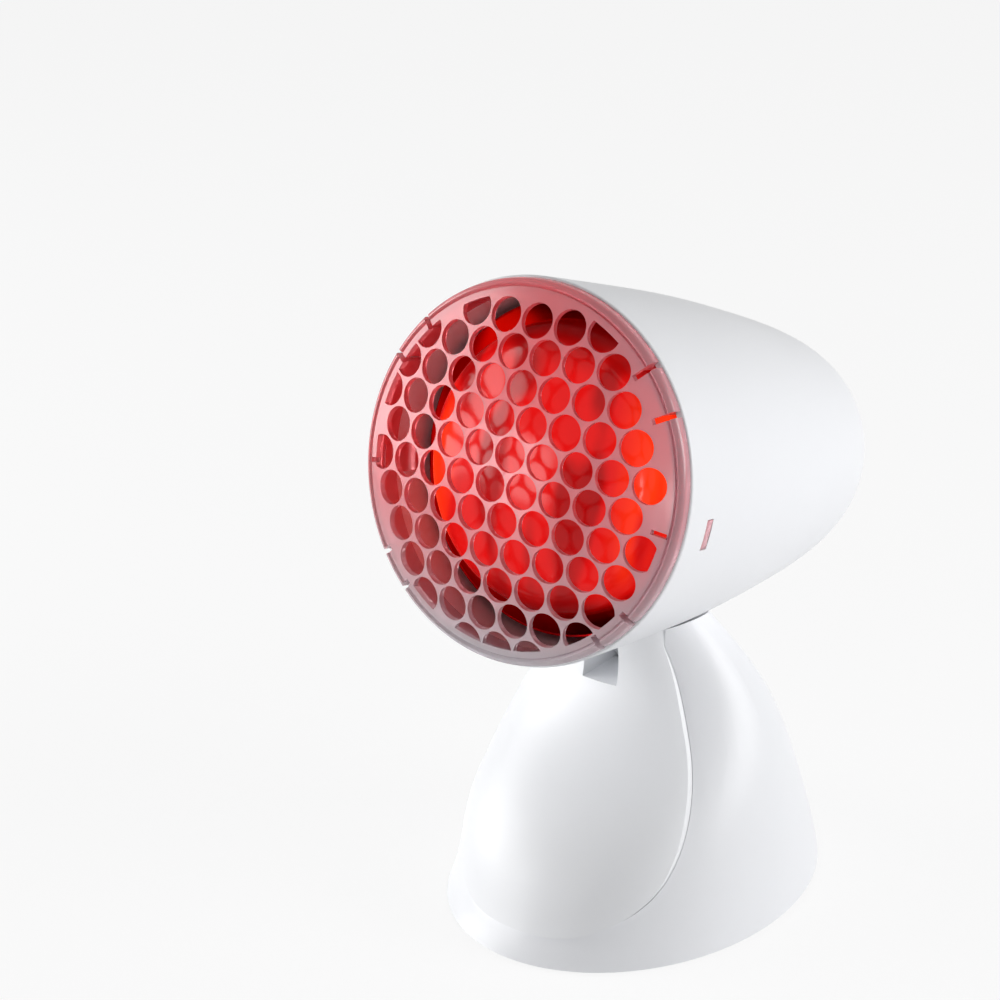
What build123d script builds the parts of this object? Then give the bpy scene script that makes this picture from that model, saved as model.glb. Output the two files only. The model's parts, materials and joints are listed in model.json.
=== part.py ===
from build123d import *
from math import atan2, cos, hypot, pi, radians, sin, sqrt
import os

# Infrared heat therapy lamp, in millimetres. +Z is up, the lamp faces -Y and +X is its own
# left, a viewer's right. The origin is the middle of the foot ring's underside.

# ---------------------------------------------------------------- driving dimensions
# Base: an oval bell, given by its height, half width, half depth and oval centre along Y.
RIM_HEIGHT = 1.0
FOOT_HALF_WIDTH, FOOT_HALF_DEPTH, FOOT_CENTRE = 60.5, 75.5, 1.0
SKIRT_HEIGHT, SKIRT_HALF_WIDTH, SKIRT_HALF_DEPTH, SKIRT_CENTRE = 20.0, 57.5, 68.0, 2.5
BELLY_HEIGHT, BELLY_HALF_WIDTH, BELLY_HALF_DEPTH, BELLY_CENTRE = 45.0, 53.0, 54.0, 4.5
WAIST_HEIGHT, WAIST_HALF_WIDTH, WAIST_HALF_DEPTH, WAIST_CENTRE = 70.0, 44.5, 34.0, 9.5
NECK_HEIGHT, NECK_HALF_WIDTH, NECK_HALF_DEPTH, NECK_CENTRE = 90.0, 34.5, 23.0, 6.0
CROWN_HEIGHT, CROWN_HALF_WIDTH, CROWN_HALF_DEPTH, CROWN_CENTRE = 112.0, 25.5, 17.5, -5.5
BASE_WALL = 3.0

# Front panel: its own ovals (half width, half depth, centre along Y) at the bell's heights,
# which stand proud of the bell, cut to a teardrop. The teardrop's points are its right half
# seen from the front, from the bottom up.
PANEL_FOOT = (44.5, 38.8, -37.0)
PANEL_SKIRT = (45.5, 36.6, -30.0)
PANEL_BELLY = (45.0, 31.2, -20.0)
PANEL_WAIST = (34.5, 17.0, -9.8)
PANEL_NECK = (25.4, 12.6, -7.0)
PANEL_CROWN = (22.9, 12.0, -11.5)
TEARDROP = [
    (0.0, 10.0),
    (26.0, 13.0),
    (38.0, 21.5),
    (42.5, 39.0),
    (36.0, 61.6),
    (27.5, 78.7),
    (21.4, 96.0),
    (22.4, 110.0),
]
PANEL_SEAT = 1.2
PANEL_GAP = 0.2
PANEL_STUD_RADIUS = 2.5
PANEL_STUD_REACH = 3.0
PANEL_STUD_PLACES = [(-24.0, 33.0), (24.0, 33.0), (0.0, 62.0)]

# Tilt joint: the neck of the head turns on an axle across the slot between two cheeks.
PIVOT_Y, PIVOT_Z = 10.0, 87.0
REST_TILT = 14.0
TILT_STEPS = 4
TILT_STEP = 8.0
SLOT_HALF_WIDTH = 7.0
SLOT_SILL = 82.0
CHEEK_WALL = 3.5
CHEEK_DEPTH_BELOW_PIVOT = 16.0
SLOT_BACK_GAP = 2.5
AXLE_RADIUS = 3.0
AXLE_RUNNING_CLEARANCE = 0.05
BUSH_WALL = 1.4
WASHER_RADIUS = 6.0
WASHER_THICKNESS = 1.0
AXLE_END = 1.6
AXLE_CHAMFER = 0.4
HEAD_GAP = 1.0
SIDE_CLEARANCE = 0.6

# Head: a bullet of revolution. Stations run back from the mouth along its axis.
MOUTH_RADIUS = 62.0
HEAD_LENGTH = 174.0
HEAD_WALL = 2.5
PIVOT_STATION = 91.0
PIVOT_BELOW_MOUTH = 2.0
NECK_ROUND_RADIUS = 11.0
NECK_FRONT_REACH = 29.0
NECK_REAR_REACH = 14.0
NECK_ROOT = 2.0
NOTCH_RADIUS = 0.6
NOTCH_ANGLE = -75.0
NOTCH_SIDE = 3.2
LEAD_CHANNEL_RADIUS = 2.6
LEAD_CHANNEL_OFFSET = 8.6
LIP_SEAT = 2.6
LIP_ROUND = 0.8

# Grille: a clear domed cap with round holes in a hexagonal layout. Its radii step in from the
# mouth's, and its holes stand square to the dome.
GRILLE_STEP = 1.0
RIDGE_STEP = 1.6
SHOULDER_STEP = 2.8
FIELD_STEP = 2.1
RIDGE_ROUND = 2.2
RIDGE_END = 0.3
GROOVE_DEPTH = 0.7
DOME_RISE = 9.1
SHOULDER_RISE = 1.65
GRILLE_THICKNESS = 2.0
HOLE_PITCH = 12.1
HOLE_RADIUS = 5.7
HOLE_ROW_OFFSET = -3.9
HOLE_COLUMN_OFFSET = 1.5
SIDE_HOLE_SHOW = 5.8
END_HOLE_SHOW = 3.2
SKIRT_CLEARANCE = 1.2
SKIRT_WALL = 1.7
SKIRT_END = 9.0
TAB_SLOT_WIDTH = 2.0
TAB_SLOTS = [(28.5, 7.4), (44.0, 7.4), (-37.0, 4.3), (-50.0, 4.3)]
HOOK_ANGLES = [-7.5, 187.5]
HOOK_SLOT_WIDTH = 1.6
HOOK_SLOT_LENGTH = 5.5
HOOK_WIDTH = 9.4
HOOK_STEP = 0.9
HOOK_WALL = 1.5
HOOK_END = 20.0
HOOK_LUG = 3.4
HOOK_RISE = 2.9
WINDOW_STATION = 17.2
WINDOW_CLEARANCE = 0.3

# Bulb: a reflector bulb with an E27 screw cap.
BULB_RADIUS = 47.5
BULB_FACE_STATION = 4.0
BULB_FACE_RISE = 9.0
BULB_LENGTH = 106.5
BULB_NECK_RADIUS = 17.0
GLASS_WALL = 0.9
GLASS_END_RADIUS = 11.9
CAP_GAP = 0.2
CAP_STEP = 3.5
GLASS_IN_CAP = 6.0
CAP_LENGTH = 21.0
CAP_RADIUS = 13.1
CAP_WALL = 0.5
THREAD_PITCH = 3.63
THREAD_DEPTH = 0.55
THREAD_TURNS = 4
THREAD_START = 3.0
THREAD_CREST = 1.4
CAP_END_STEP = 2.0
TIP_RADIUS = 4.5
TIP_HEIGHT = 1.3
INSULATOR_HEIGHT = 2.3
STEM_RADIUS = 3.0
STEM_LENGTH = 42.0
FILAMENT_RING_RADIUS = 10.0
FILAMENT_RADIUS = 0.5
SUPPORT_RADIUS = 0.4
SUPPORT_LENGTH = 16.0

# Lampholder and what carries it.
BRACKET_STATION = 112.0
BRACKET_THICKNESS = 1.2
BRACKET_RADIUS = 30.0
BRACKET_ARM_WIDTH = 9.0
BOSS_COUNT = 3
BOSS_CIRCLE_RADIUS = 36.5
BOSS_RADIUS = 4.0
HOLDER_RADIUS = 19.8
HOLDER_BORE_RADIUS = 14.6
HOLDER_MOUTH_RADIUS = 18.2
HOLDER_MOUTH_DEPTH = 4.8
HOLDER_FLANGE_RADIUS = 27.0
HOLDER_FLANGE_THICKNESS = 4.0
HOLDER_BACK = 4.5
HOLDER_SCREW_SPACING = 46.0
HOLDER_CLEARANCE = 0.3
SLEEVE_WALL = 0.5
SLEEVE_LENGTH = 19.0
CONTACT_GAP = 0.4
CONTACT_STRIP = (22.0, 6.0, 0.4)
CONTACT_SPRING_HEIGHT = 1.9
CONTACT_FOOT = 4.0
SLEEVE_STEP = 1.5
SHIELD_THICKNESS = 0.6
SHIELD_FRONT_STATION = 24.0
SHIELD_GAP = 3.1
SHIELD_HOLE_RADIUS = 27.0

# Underside.
PLATE_THICKNESS = 2.6
PLATE_RECESS = 0.5
PLATE_CLEARANCE = 0.3
FOOT_RING_WIDTH = 4.0
FOOT_RING_INSET = 5.0
FOOT_RING_SEAT = 1.0
POST_RADIUS = 4.2
POST_PLACES = [(-45.0, 24.0), (45.0, 24.0), (-38.0, -28.0), (38.0, -28.0)]

# Service panel: a flat recess at the back with the rocker switch and the lead's inlet.
SERVICE_LEAN = 22.0
SERVICE_Y, SERVICE_Z = 64.2, 26.0
SERVICE_WIDTH = 26.0
SERVICE_HEIGHT = 38.0
SERVICE_CORNER = 5.0
SERVICE_REACH = 14.0
SWITCH_RISE = 8.3
SWITCH_FLANGE = (15.0, 21.0)
SWITCH_FLANGE_THICKNESS = 1.8
SWITCH_BODY = (12.8, 19.0)
SWITCH_DEPTH = 15.0
ROCKER_HALF_LENGTH = 7.6
ROCKER_HALF_WIDTH = 5.0
ROCKER_RISE = 2.2
ROCKER_SINK = 3.0
ROCKER_REST_ANGLE = 10.0
ROCKER_PIN_RADIUS = 1.1
ROCKER_PIN_REACH = 1.1
ROCKER_GAP = 0.4
TERMINAL_SIZE = (0.8, 4.8, 7.0)
TERMINAL_SPACING = 7.0
INLET_DROP = 11.3
INLET_RADIUS = 5.5
INLET_BORE_RADIUS = 3.4
INLET_FLANGE_RADIUS = 7.2
INLET_FLANGE = 1.6
INLET_TAIL = 5.0

# Small parts.
SCREW_SHANK_RADIUS = 1.4
SCREW_HEAD_RADIUS = 2.7
SCREW_HEAD_HEIGHT = 1.8
SCREW_LENGTH = 9.0
SCREW_CLEARANCE = 0.2
DRIVER_SLOT = (2.6, 0.7, 0.9)
LEAD_RADIUS = 1.1
LEAD_BEND = 7.0
LEAD_SPACING = 1.25
LEAD_SETBACK = 2.5
TERMINAL_BLOCK = (24.0, 15.0, 12.0)
TERMINAL_BLOCK_Y = 10.0
TERMINAL_BLOCK_WAYS = 12.0
TERMINAL_BLOCK_HOLE_RADIUS = 1.6
TERMINAL_BLOCK_WIRE_HEIGHT = 5.0
CLAMP_Y = 47.0
CLAMP_SPACING = 20.0
CLAMP_POST_HEIGHT = 6.0
CLAMP_POST_RADIUS = 3.6
CLAMP_BAR = (27.0, 7.5, 3.0)
SPRING_THICKNESS = 0.4
SPRING_GAP = 0.3
SPRING_SCREW_Y = 27.0
SPRING_LENGTH_BEHIND_SCREW = 4.0
SPRING_SIDE_GAP = 0.2

# ---------------------------------------------------------------- frame of the head
TILT_RANGE = TILT_STEPS * TILT_STEP
tilt = radians(REST_TILT)
X_AXIS = Vector(1, 0, 0)
REAR = Vector(0, cos(tilt), -sin(tilt))
HEAD_UP = Vector(0, sin(tilt), cos(tilt))
PIVOT = Vector(0, PIVOT_Y, PIVOT_Z)
PIVOT_DROP = MOUTH_RADIUS + PIVOT_BELOW_MOUTH
MOUTH = PIVOT - REAR * PIVOT_STATION + HEAD_UP * PIVOT_DROP

pivot_axis = Axis((0, PIVOT_Y, PIVOT_Z), (1, 0, 0))
head_axis = Axis(tuple(MOUTH), tuple(REAR))


def radial_plane(angle):
    """Plane through the head's axis: x runs back along the axis, y outward at this angle."""
    outward = X_AXIS * cos(radians(angle)) + HEAD_UP * sin(radians(angle))
    return Plane(origin=tuple(MOUTH), x_dir=tuple(REAR), z_dir=tuple(REAR.cross(outward)))


def cross_plane(station):
    """Plane across the head's axis: x is the lamp's X, y is the head's up, z faces forward."""
    return Plane(origin=tuple(MOUTH + REAR * station), x_dir=(1, 0, 0), z_dir=tuple(REAR * -1))


# ---------------------------------------------------------------- shared forms
BELL_ROWS = [
    (RIM_HEIGHT, FOOT_HALF_WIDTH, FOOT_HALF_DEPTH, FOOT_CENTRE),
    (SKIRT_HEIGHT, SKIRT_HALF_WIDTH, SKIRT_HALF_DEPTH, SKIRT_CENTRE),
    (BELLY_HEIGHT, BELLY_HALF_WIDTH, BELLY_HALF_DEPTH, BELLY_CENTRE),
    (WAIST_HEIGHT, WAIST_HALF_WIDTH, WAIST_HALF_DEPTH, WAIST_CENTRE),
    (NECK_HEIGHT, NECK_HALF_WIDTH, NECK_HALF_DEPTH, NECK_CENTRE),
    (CROWN_HEIGHT, CROWN_HALF_WIDTH, CROWN_HALF_DEPTH, CROWN_CENTRE),
]
PANEL_ROWS = [
    (RIM_HEIGHT, *PANEL_FOOT),
    (SKIRT_HEIGHT, *PANEL_SKIRT),
    (BELLY_HEIGHT, *PANEL_BELLY),
    (WAIST_HEIGHT, *PANEL_WAIST),
    (NECK_HEIGHT, *PANEL_NECK),
    (CROWN_HEIGHT, *PANEL_CROWN),
]
OVAL_POINTS = 16


def oval_loft(rows, inset=0.0):
    """Solid through level ovals, each drawn in by inset."""
    with BuildPart() as body:
        for height, half_width, half_depth, centre in rows:
            with BuildSketch(Plane.XY.offset(height)):
                with BuildLine():
                    around = [2 * pi * k / OVAL_POINTS for k in range(OVAL_POINTS)]
                    Spline(
                        *[
                            ((half_width - inset) * cos(a), centre + (half_depth - inset) * sin(a))
                            for a in around
                        ],
                        periodic=True,
                    )
                make_face()
        loft()
    return body.part


# Radius of the head at stations along its length, as shares of the mouth and the length.
HEAD_FORM = [(0.0, 1.0), (0.2, 0.953), (0.4, 0.897), (0.598, 0.813), (0.747, 0.735)]
TAIL_FORM = [(0.862, 0.645), (0.937, 0.532), (0.98, 0.371)]


def head_points(inset):
    """Profile points of the bullet, drawn in by inset."""
    length = HEAD_LENGTH - inset
    return [(share * length, size * MOUTH_RADIUS - inset) for share, size in HEAD_FORM + TAIL_FORM]


def head_radius(station):
    """Outer radius of the bullet at a station, between the profile's points."""
    rows = head_points(0.0)
    for (s0, r0), (s1, r1) in zip(rows, rows[1:]):
        if s0 <= station <= s1:
            return r0 + (r1 - r0) * (station - s0) / (s1 - s0)
    return rows[-1][1]


def head_solid(inset, start=0.0):
    """Bullet of revolution from the start station to the tail, drawn in by inset."""
    points = head_points(inset)
    with BuildPart() as body:
        with BuildSketch(radial_plane(90)):
            with BuildLine():
                Spline(*points, (HEAD_LENGTH - inset, 0), tangents=((1, -0.08), (0, -1)))
                Line((HEAD_LENGTH - inset, 0), (0, 0))
                Line((0, 0), points[0])
            make_face()
        revolve(axis=head_axis)
        if start > 0:
            with BuildSketch(cross_plane(0)):
                Circle(MOUTH_RADIUS * 2)
            extrude(amount=-start, mode=Mode.SUBTRACT)
    return body.part


def swept_head(gap):
    """Space that the tilting head takes, grown by gap."""
    bullet = head_solid(-gap)
    with BuildPart() as body:
        for angle in (0, TILT_RANGE / 2, TILT_RANGE):
            add(bullet.rotate(pivot_axis, -angle))
    return body.part


def screw(plane, length=SCREW_LENGTH, head_radius=SCREW_HEAD_RADIUS):
    """Pan-head screw: the plane lies under its head and faces out of it."""
    slot_length, slot_width, slot_depth = DRIVER_SLOT
    with BuildPart() as body:
        with BuildSketch(plane):
            Circle(head_radius)
        extrude(amount=SCREW_HEAD_HEIGHT)
        fillet(body.faces().sort_by(Axis(plane.origin, plane.z_dir))[-1].edges(), 0.5)
        with BuildSketch(plane):
            Circle(SCREW_SHANK_RADIUS)
        extrude(amount=-length)
        with BuildSketch(plane.offset(SCREW_HEAD_HEIGHT)):
            Rectangle(slot_length, slot_width)
            Rectangle(slot_width, slot_length)
        extrude(amount=-slot_depth, mode=Mode.SUBTRACT)
    return body.part


os.makedirs("parts", exist_ok=True)

bell = oval_loft(BELL_ROWS)
bell_inside = oval_loft(BELL_ROWS, BASE_WALL)
panel_form = oval_loft(PANEL_ROWS)
head_space = swept_head(HEAD_GAP)
head_space_and_wall = swept_head(HEAD_GAP + BASE_WALL)
bullet_inside = head_solid(HEAD_WALL)

# ---------------------------------------------------------------- places in the base
PLATE_BOTTOM = RIM_HEIGHT + PLATE_RECESS
PLATE_TOP = PLATE_BOTTOM + PLATE_THICKNESS
CHEEK_OUTSIDE = SLOT_HALF_WIDTH + CHEEK_WALL
NECK_HALF_THICKNESS = SLOT_HALF_WIDTH - SIDE_CLEARANCE
BASE_DEPTH = 2 * FOOT_HALF_DEPTH

lean = radians(SERVICE_LEAN)
service_plane = Plane(
    origin=(0, SERVICE_Y, SERVICE_Z), x_dir=(-1, 0, 0), z_dir=(0, cos(lean), sin(lean))
)
switch_plane = service_plane.shift_origin(service_plane.from_local_coords(Vector(0, SWITCH_RISE, 0)))
inlet_plane = service_plane.shift_origin(service_plane.from_local_coords(Vector(0, -INLET_DROP, 0)))

web_bottom = PIVOT_Z - CHEEK_DEPTH_BELOW_PIVOT
opening_front = PIVOT_Y
opening_back = PIVOT_Y + NECK_ROUND_RADIUS + SLOT_BACK_GAP
slot_plane = Plane.YZ.offset(-SLOT_HALF_WIDTH)


def head_point(station, x, rise):
    """Point given by its station along the head's axis, its X and its rise over the axis."""
    return MOUTH + REAR * station + X_AXIS * x + HEAD_UP * rise


# ---------------------------------------------------------------- base shell
def teardrop_prism(gap=0.0):
    """The teardrop as a prism through the base's front, grown by a gap from its middle."""
    middle = (TEARDROP[0][1] + TEARDROP[-1][1]) / 2
    points = []
    for x, z in TEARDROP:
        reach = hypot(x, z - middle)
        points.append((x * (1 + gap / reach), middle + (z - middle) * (1 + gap / reach)))
    top = points[-1][1]
    with BuildPart() as body:
        with BuildSketch(Plane.XZ):
            with BuildLine():
                Spline(*points, tangents=((1, 0), (0.1, 1)))
                Line(points[-1], (0, top))
                Line((0, top), points[0])
            make_face()
            mirror(about=Plane.YZ)
        extrude(amount=BASE_DEPTH)
    return body.part


bell_seat = oval_loft(BELL_ROWS, PANEL_SEAT)

# The hollow stops a wall short of the head's space, so the top is a closed saddle, and it
# leaves the cheeks beside the slot, the screw posts and the back of the service panel.
with BuildPart() as hollow:
    add(bell_inside)
    add(head_space_and_wall, mode=Mode.SUBTRACT)
    with BuildSketch(Plane.XY.offset(web_bottom)):
        Rectangle(2 * CHEEK_OUTSIDE, BASE_DEPTH)
    extrude(amount=CROWN_HEIGHT, mode=Mode.SUBTRACT)
    with BuildSketch(Plane.XY.offset(PLATE_TOP)):
        with Locations(*POST_PLACES):
            Circle(POST_RADIUS)
    extrude(amount=CROWN_HEIGHT, mode=Mode.SUBTRACT)
    with BuildSketch(service_plane.offset(-BASE_WALL)):
        RectangleRounded(SERVICE_WIDTH + 2 * BASE_WALL, SERVICE_HEIGHT + 2 * BASE_WALL, SERVICE_CORNER)
    extrude(amount=SERVICE_REACH, mode=Mode.SUBTRACT)

with BuildPart() as panel_recess:
    add(teardrop_prism(PANEL_GAP))
    add(bell_seat, mode=Mode.SUBTRACT)

with BuildPart() as base_shell:
    add(bell)
    add(hollow.part, mode=Mode.SUBTRACT)
    add(panel_recess.part, mode=Mode.SUBTRACT)
    add(head_space, mode=Mode.SUBTRACT)
    # Slot for the neck, open at the front, the top and the back, with a round floor.
    with BuildSketch(Plane.XY.offset(SLOT_SILL)):
        Rectangle(2 * SLOT_HALF_WIDTH, BASE_DEPTH)
    extrude(amount=CROWN_HEIGHT, mode=Mode.SUBTRACT)
    with BuildSketch(slot_plane):
        with Locations((PIVOT_Y, PIVOT_Z)):
            Circle(NECK_ROUND_RADIUS + HEAD_GAP)
        with BuildLine():
            Polyline(
                (opening_front, PIVOT_Z),
                (opening_back, PIVOT_Z),
                (opening_back, web_bottom - BASE_WALL),
                (opening_front, web_bottom - BASE_WALL),
                close=True,
            )
        make_face()
    extrude(amount=2 * SLOT_HALF_WIDTH, mode=Mode.SUBTRACT)
    # Axle holes through the cheeks.
    with BuildSketch(Plane.YZ):
        with Locations((PIVOT_Y, PIVOT_Z)):
            Circle(AXLE_RADIUS)
    extrude(amount=CHEEK_OUTSIDE + BASE_WALL, both=True, mode=Mode.SUBTRACT)
    # Holes for the panel's studs.
    with BuildSketch(Plane.XZ):
        with Locations(*PANEL_STUD_PLACES):
            Circle(PANEL_STUD_RADIUS)
    extrude(amount=BASE_DEPTH, mode=Mode.SUBTRACT)
    # Pilot holes in the posts and under the detent spring.
    with BuildSketch(Plane.XY.offset(PLATE_TOP)):
        with Locations(*POST_PLACES):
            Circle(SCREW_SHANK_RADIUS)
    extrude(amount=SCREW_LENGTH, mode=Mode.SUBTRACT)
    with BuildSketch(Plane.XY.offset(web_bottom)):
        with Locations((0, SPRING_SCREW_Y)):
            Circle(SCREW_SHANK_RADIUS)
    extrude(amount=SCREW_LENGTH, mode=Mode.SUBTRACT)
    # Recess of the service panel, with the switch's and the inlet's openings.
    with BuildSketch(service_plane):
        RectangleRounded(SERVICE_WIDTH, SERVICE_HEIGHT, SERVICE_CORNER)
    extrude(amount=SERVICE_REACH, mode=Mode.SUBTRACT)
    with BuildSketch(switch_plane):
        Rectangle(*SWITCH_BODY)
    extrude(amount=-2 * BASE_WALL, mode=Mode.SUBTRACT)
    with BuildSketch(inlet_plane):
        Circle(INLET_RADIUS)
    extrude(amount=-2 * BASE_WALL, mode=Mode.SUBTRACT)
base_shell.part.label = "base_shell"
export_step(base_shell.part, "parts/base_shell.step")

# ---------------------------------------------------------------- front panel
# Studs behind the panel run through the shell's wall.
stud_ends = oval_loft(BELL_ROWS, BASE_WALL + PANEL_STUD_REACH)
with BuildPart() as panel_studs:
    with BuildSketch(Plane.XZ):
        with Locations(*PANEL_STUD_PLACES):
            Circle(PANEL_STUD_RADIUS)
    extrude(amount=BASE_DEPTH)
    add(bell_seat, mode=Mode.INTERSECT)
    add(stud_ends, mode=Mode.SUBTRACT)

with BuildPart() as front_panel:
    add(panel_form)
    add(teardrop_prism(), mode=Mode.INTERSECT)
    add(bell_seat, mode=Mode.SUBTRACT)
    add(head_space, mode=Mode.SUBTRACT)
    with BuildSketch(Plane.XY.offset(SLOT_SILL)):
        Rectangle(2 * SLOT_HALF_WIDTH, BASE_DEPTH)
    extrude(amount=CROWN_HEIGHT, mode=Mode.SUBTRACT)
    add(panel_studs.part)
front_panel.part.label = "front_panel"
export_step(front_panel.part, "parts/front_panel.step")

# ---------------------------------------------------------------- underside
under_plate = Plane(origin=(0, 0, PLATE_BOTTOM), x_dir=(1, 0, 0), z_dir=(0, 0, -1))
plate_form = oval_loft(BELL_ROWS, BASE_WALL + PLATE_CLEARANCE)
clamp_places = [(-CLAMP_SPACING / 2, CLAMP_Y), (CLAMP_SPACING / 2, CLAMP_Y)]
HEAD_SINK = PLATE_THICKNESS - 1.2


def foot_band(grow=0.0):
    """Sketch of the foot ring, grown by a gap on both edges."""
    with BuildSketch(Plane.XY) as band:
        with Locations((0, FOOT_CENTRE)):
            outer_width = FOOT_HALF_WIDTH - FOOT_RING_INSET + grow
            outer_depth = FOOT_HALF_DEPTH - FOOT_RING_INSET + grow
            across = FOOT_RING_WIDTH + 2 * grow
            Ellipse(outer_width, outer_depth)
            Ellipse(outer_width - across, outer_depth - across, mode=Mode.SUBTRACT)
    return band.sketch


with BuildPart() as base_plate:
    add(plate_form)
    with BuildSketch(Plane.XY.offset(PLATE_BOTTOM)):
        Rectangle(BASE_DEPTH, 2 * BASE_DEPTH)
    extrude(amount=PLATE_THICKNESS, mode=Mode.INTERSECT)
    # Groove for the foot ring.
    extrude(foot_band(), amount=PLATE_BOTTOM + FOOT_RING_SEAT, mode=Mode.SUBTRACT)
    # Sunk holes for the base screws.
    with Locations(under_plate):
        with Locations(*[(x, -y) for x, y in POST_PLACES]):
            CounterBoreHole(
                radius=SCREW_SHANK_RADIUS + SCREW_CLEARANCE,
                counter_bore_radius=SCREW_HEAD_RADIUS + SCREW_CLEARANCE,
                counter_bore_depth=HEAD_SINK,
            )
    # Posts of the cord clamp.
    with BuildSketch(Plane.XY.offset(PLATE_TOP)):
        with Locations(*clamp_places):
            Circle(CLAMP_POST_RADIUS)
    extrude(amount=CLAMP_POST_HEIGHT)
    with BuildSketch(Plane.XY.offset(PLATE_TOP + CLAMP_POST_HEIGHT)):
        with Locations(*clamp_places):
            Circle(SCREW_SHANK_RADIUS)
    extrude(amount=-(SCREW_LENGTH - CLAMP_BAR[2]), mode=Mode.SUBTRACT)
    # Pilot hole under the terminal block.
    with BuildSketch(Plane.XY.offset(PLATE_TOP)):
        with Locations((0, TERMINAL_BLOCK_Y)):
            Circle(SCREW_SHANK_RADIUS)
    extrude(amount=-PLATE_THICKNESS, mode=Mode.SUBTRACT)
base_plate.part.label = "base_plate"
export_step(base_plate.part, "parts/base_plate.step")

with BuildPart() as foot_ring:
    extrude(foot_band(), amount=PLATE_BOTTOM + FOOT_RING_SEAT)
foot_ring.part.label = "foot_ring"
export_step(foot_ring.part, "parts/foot_ring.step")

with BuildPart() as base_screws:
    for x, y in POST_PLACES:
        seat = Plane(origin=(x, y, PLATE_BOTTOM + HEAD_SINK), x_dir=(1, 0, 0), z_dir=(0, 0, -1))
        add(screw(seat))
base_screws.part.label = "base_screws"
export_step(base_screws.part, "parts/base_screws.step")

# ---------------------------------------------------------------- tilt joint
AXLE_HALF_LENGTH = CHEEK_OUTSIDE + WASHER_THICKNESS + AXLE_END
pivot_plane = Plane(origin=(0, PIVOT_Y, PIVOT_Z), x_dir=(0, 1, 0), z_dir=(1, 0, 0))

with BuildPart() as tilt_axle:
    with BuildSketch(pivot_plane):
        Circle(AXLE_RADIUS)
    extrude(amount=AXLE_HALF_LENGTH, both=True)
    chamfer(tilt_axle.edges().filter_by(GeomType.CIRCLE), AXLE_CHAMFER)
tilt_axle.part.label = "tilt_axle"
export_step(tilt_axle.part, "parts/tilt_axle.step")

with BuildPart() as axle_washers:
    for side in (-1, 1):
        with BuildSketch(pivot_plane.offset(side * CHEEK_OUTSIDE)):
            Circle(WASHER_RADIUS)
            Circle(AXLE_RADIUS, mode=Mode.SUBTRACT)
        extrude(amount=side * WASHER_THICKNESS)
axle_washers.part.label = "axle_washers"
export_step(axle_washers.part, "parts/axle_washers.step")

with BuildPart() as tilt_bush:
    with BuildSketch(pivot_plane):
        Circle(AXLE_RADIUS + AXLE_RUNNING_CLEARANCE + BUSH_WALL)
        Circle(AXLE_RADIUS + AXLE_RUNNING_CLEARANCE, mode=Mode.SUBTRACT)
    extrude(amount=NECK_HALF_THICKNESS, both=True)
tilt_bush.part.label = "tilt_bush"
export_step(tilt_bush.part, "parts/tilt_bush.step")

# The spring's nose stands under the notches, beside the leads, and its foot is screwed
# under the slot's floor.
nose_reach = NECK_ROUND_RADIUS + SPRING_GAP + SPRING_THICKNESS / 2
nose_y = PIVOT_Y + nose_reach * cos(radians(NOTCH_ANGLE))
nose_z = PIVOT_Z + nose_reach * sin(radians(NOTCH_ANGLE))
leaf_z = web_bottom - SPRING_THICKNESS / 2
finger_inside = NOTCH_SIDE + SPRING_SIDE_GAP
finger_outside = NECK_HALF_THICKNESS - SPRING_SIDE_GAP

with BuildPart() as detent_spring:
    with BuildSketch(Plane.YZ.offset(finger_inside)):
        with BuildLine():
            Polyline(
                (SPRING_SCREW_Y, leaf_z),
                (nose_y + 8, leaf_z),
                (nose_y + 2, nose_z - 1),
                (nose_y, nose_z),
                (nose_y - 2, nose_z - 1.5),
            )
            offset(amount=SPRING_THICKNESS / 2)
        make_face()
    extrude(amount=finger_outside - finger_inside)
    with BuildSketch(Plane.XY.offset(web_bottom)):
        with Locations((0, SPRING_SCREW_Y)):
            Rectangle(2 * finger_outside, 2 * SPRING_LENGTH_BEHIND_SCREW)
            Circle(SCREW_SHANK_RADIUS + SCREW_CLEARANCE, mode=Mode.SUBTRACT)
    extrude(amount=-SPRING_THICKNESS)
    with BuildSketch(Plane.XY.offset(web_bottom)):
        with Locations((0, SPRING_SCREW_Y)):
            Circle(SCREW_SHANK_RADIUS + SCREW_CLEARANCE)
    extrude(amount=-SPRING_THICKNESS, mode=Mode.SUBTRACT)
detent_spring.part.label = "detent_spring"
export_step(detent_spring.part, "parts/detent_spring.step")

under_leaf = Plane(
    origin=(0, SPRING_SCREW_Y, web_bottom - SPRING_THICKNESS), x_dir=(1, 0, 0), z_dir=(0, 0, -1)
)
with BuildPart() as spring_screw:
    add(screw(under_leaf, length=SCREW_LENGTH - 1))
spring_screw.part.label = "spring_screw"
export_step(spring_screw.part, "parts/spring_screw.step")

# ---------------------------------------------------------------- switch and inlet
# Seen along X: sketch x runs up the panel and sketch y runs out of it.
rocker_plane = Plane(origin=switch_plane.origin, x_dir=switch_plane.y_dir, z_dir=switch_plane.x_dir)
POCKET_REACH = hypot(ROCKER_HALF_LENGTH, ROCKER_RISE + 1.4) + ROCKER_GAP
POCKET_DEPTH = hypot(ROCKER_HALF_LENGTH, ROCKER_SINK) * sin(
    atan2(ROCKER_SINK, ROCKER_HALF_LENGTH) + radians(ROCKER_REST_ANGLE)
)

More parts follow.
